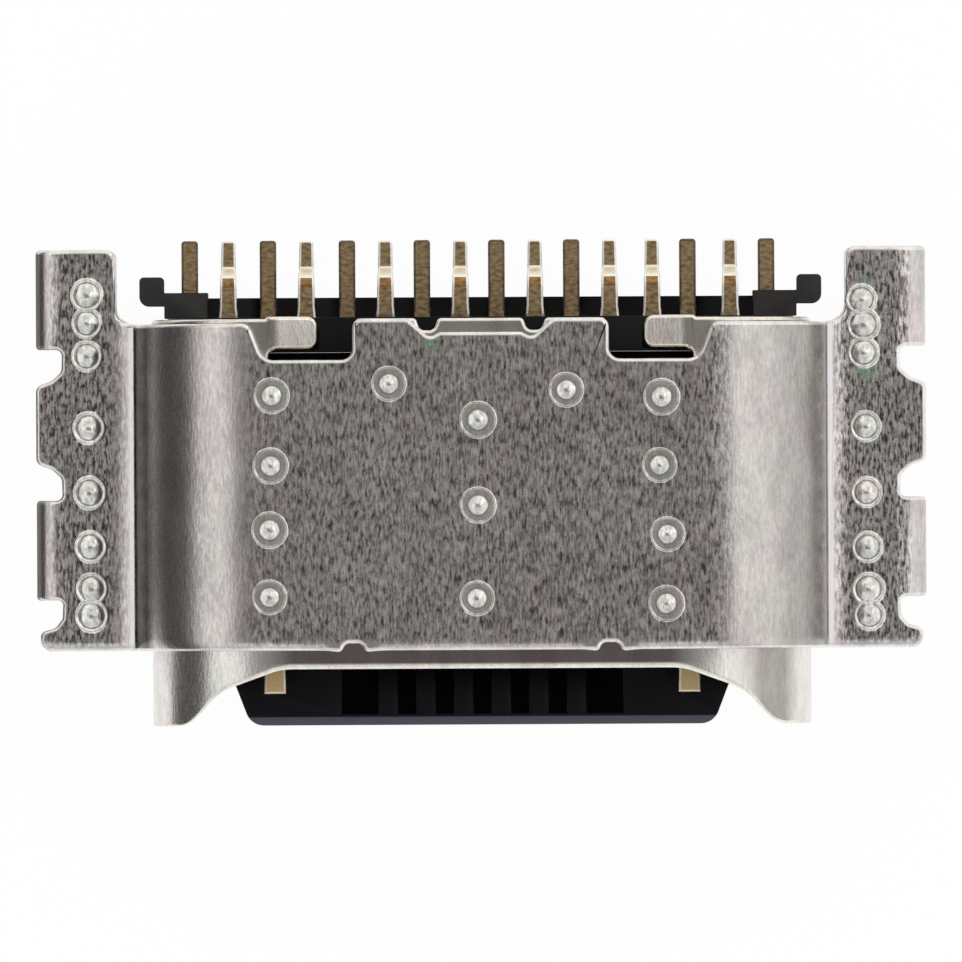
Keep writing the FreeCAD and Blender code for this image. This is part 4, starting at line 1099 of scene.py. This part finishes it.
# %% Contacts
def make_contact(name, place, tail, upper):
    """A contact of the upper or lower row, from its place on the tongue to its tail."""
    if upper:
        length = sum(part for part, turn in STEP_PARTS)
        bm = blank(contact_outline(place, tail, UPPER_WIDTHS, length))
        cut_across(bm, [STEP_FRONT] + bend_places(STEP_PARTS), ALONG)
        for vert in bm.verts:
            along, down = walk(STEP_PARTS, vert.co.y)
            vert.co = (vert.co.x, along, TONGUE_FACE + down)
    else:
        bm = blank(contact_outline(place, tail, LOWER_WIDTHS, TAIL_TIP))
        cut_across(bm, (STEP_FRONT, JOG_START, JOG_END), ALONG)
        for vert in bm.verts:
            jog = min(1.0, max(0.0, (vert.co.y - JOG_START) / (JOG_END - JOG_START)))
            vert.co.z = -TONGUE_FACE + CONTACT_SHEET + jog * (BOARD + TONGUE_FACE)
    gilts = [tail_gilt, tip_gilt, drop_highlight_gilt, edge_highlight_gilt, dull_edge, darker_bend_gilt]
    bm = thicken(bm, gilts, CONTACT_SHEET)
    weigh_edges(bm, TIP_EDGE_WIDTH, contact_edge)
    paint_contact(bm, upper)
    finish_piece(bm, "gilt_" + name, gilts, [name], widest=TIP_EDGE_WIDTH, segments=3,
                 edge_finish=3 if upper else 4)


for count, place in enumerate(TONGUE_PLACES, start=1):
    make_contact(f"upper_contact_{count}", place, UPPER_TAILS[count - 1], True)
    make_contact(f"lower_contact_{count}", place, LOWER_TAILS[count - 1], False)

# %% [markdown]
# ## Black mouldings
# The tongue and the rear wall are dull black plastic. Their solids already have the right form,
# so a copy of each is merged into clean faces and only its edges are softened.

# %% Plastic
PLASTIC_GRAIN = (25, 25, 3.0)
PLASTIC_DEPTH = 0.003


def black_plastic(name, tone, roughness, gloss):
    """Grained plastic."""
    material, tree = new_material(name)
    place = add_node(tree, "TexCoord").outputs["Object"]
    grain = noise(tree, place, PLASTIC_GRAIN, SMOOTHER)
    base = tinted(tree, grain, 0.8, 1.25, tone, (0.35, 0.7))
    shine = colour_ramp(tree, grain, [(0.3, roughness * 1.15), (0.7, roughness * 0.85)])
    end_material(tree, grain, PLASTIC_DEPTH, {"Base Color": base, "Roughness": shine,
                                              "Specular IOR Level": gloss})
    return material


tongue_black = black_plastic("tongue_black", (0.0020, 0.0023, 0.0042), 0.34, 0.22)
# The pockets are painted darker as their shade, and the slanted lip lighter and bluer as its sheen
pocket_shade_black = black_plastic("pocket_shade_black", (0.0006, 0.0006, 0.0008), 0.5, 0.04)
lip_sheen_black = black_plastic("lip_sheen_black", (0.012, 0.016, 0.032), 0.32, 0.5)
wall_black = black_plastic("wall_black", (0.0010, 0.0008, 0.0008), 0.40, 0.20)
# The ears are painted lighter as their sheen, and the wall's front edge near white as its highlight
ear_sheen_black = black_plastic("ear_sheen_black", (0.016, 0.014, 0.013), 0.42, 0.45)
wall_edge_highlight = black_plastic("wall_edge_highlight", (0.9, 0.9, 0.95), 0.42, 0.5)

# %% Black mouldings
SLANT, LEVEL = 0.3, 0.95
POCKET_TOP = TONGUE_FACE - 0.02
EAR_START = 4.08
CORNER_ANGLE = math.radians(40)
FLAT_ANGLE = math.radians(1)
TONGUE_EDGE, WALL_EDGE = 0.04, 0.03


def slanted(face):
    """Whether a face looks both forwards and up."""
    return face.normal.y < -SLANT and face.normal.z > SLANT


def tongue_part(face):
    """0 on the tongue's faces, 1 in a pocket, painted darker as its shade, 2 on the slanted lip, painted
    lighter and bluer as its sheen.
    """
    middle = face.calc_center_median()
    if middle.y < COVER_FRONT and 0 < middle.z < POCKET_TOP and face.normal.z > LEVEL:
        return 1
    return 2 if slanted(face) else 0


def wall_part(face):
    """1 on the ears, painted lighter as their sheen, 2 along the front edge of the wall, which carries a
    painted highlight, 0 elsewhere.
    """
    if abs(face.calc_center_median().x) > EAR_START:
        return 1
    return 2 if slanted(face) else 0


def soften_copy(node, name, edge, materials, part_of):
    """A copy of a solid with merged faces and softened edges. part_of picks each face's material."""
    bm = bmesh.new()
    bm.from_mesh(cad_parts[node].data)
    bmesh.ops.scale(bm, vec=(1 / MM, 1 / MM, 1 / MM), verts=bm.verts[:])
    bmesh.ops.remove_doubles(bm, verts=bm.verts[:], dist=0.0005)
    bmesh.ops.dissolve_limit(bm, angle_limit=FLAT_ANGLE, use_dissolve_boundaries=False,
                             verts=bm.verts[:], edges=bm.edges[:])
    corners = [item for item in bm.edges
               if len(item.link_faces) == 2 and item.calc_face_angle(0) > CORNER_ANGLE]
    bmesh.ops.bevel(bm, geom=corners, offset=edge, offset_type="OFFSET", segments=2, profile=0.5,
                    affect="EDGES", clamp_overlap=True, material=-1)
    for face in bm.faces:
        face.material_index = part_of(face)
    finish_piece(bm, name, materials, [node])


TONGUE_BLACKS = [tongue_black, pocket_shade_black, lip_sheen_black]
soften_copy("tongue_moulding", "contact_tongue", TONGUE_EDGE, TONGUE_BLACKS, tongue_part)
soften_copy("upper_wafer", "upper_rear_wall", WALL_EDGE, [wall_black, ear_sheen_black, wall_edge_highlight], wall_part)
soften_copy("lower_wafer", "lower_rear_wall", WALL_EDGE, [wall_black, ear_sheen_black, wall_black], wall_part)

# %% [markdown]
# ## Plates in the tongue
# The shield plate and the two ground plates hardly show. They stay as they are and get the
# shell's metal.

# %% Plates
for node in ("shield_plate", "upper_ground_plate", "lower_ground_plate"):
    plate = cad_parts[node]
    plate.data.materials.clear()
    plate.data.materials.append(shell_metal)
    print(node, "shows", shell_metal.name)
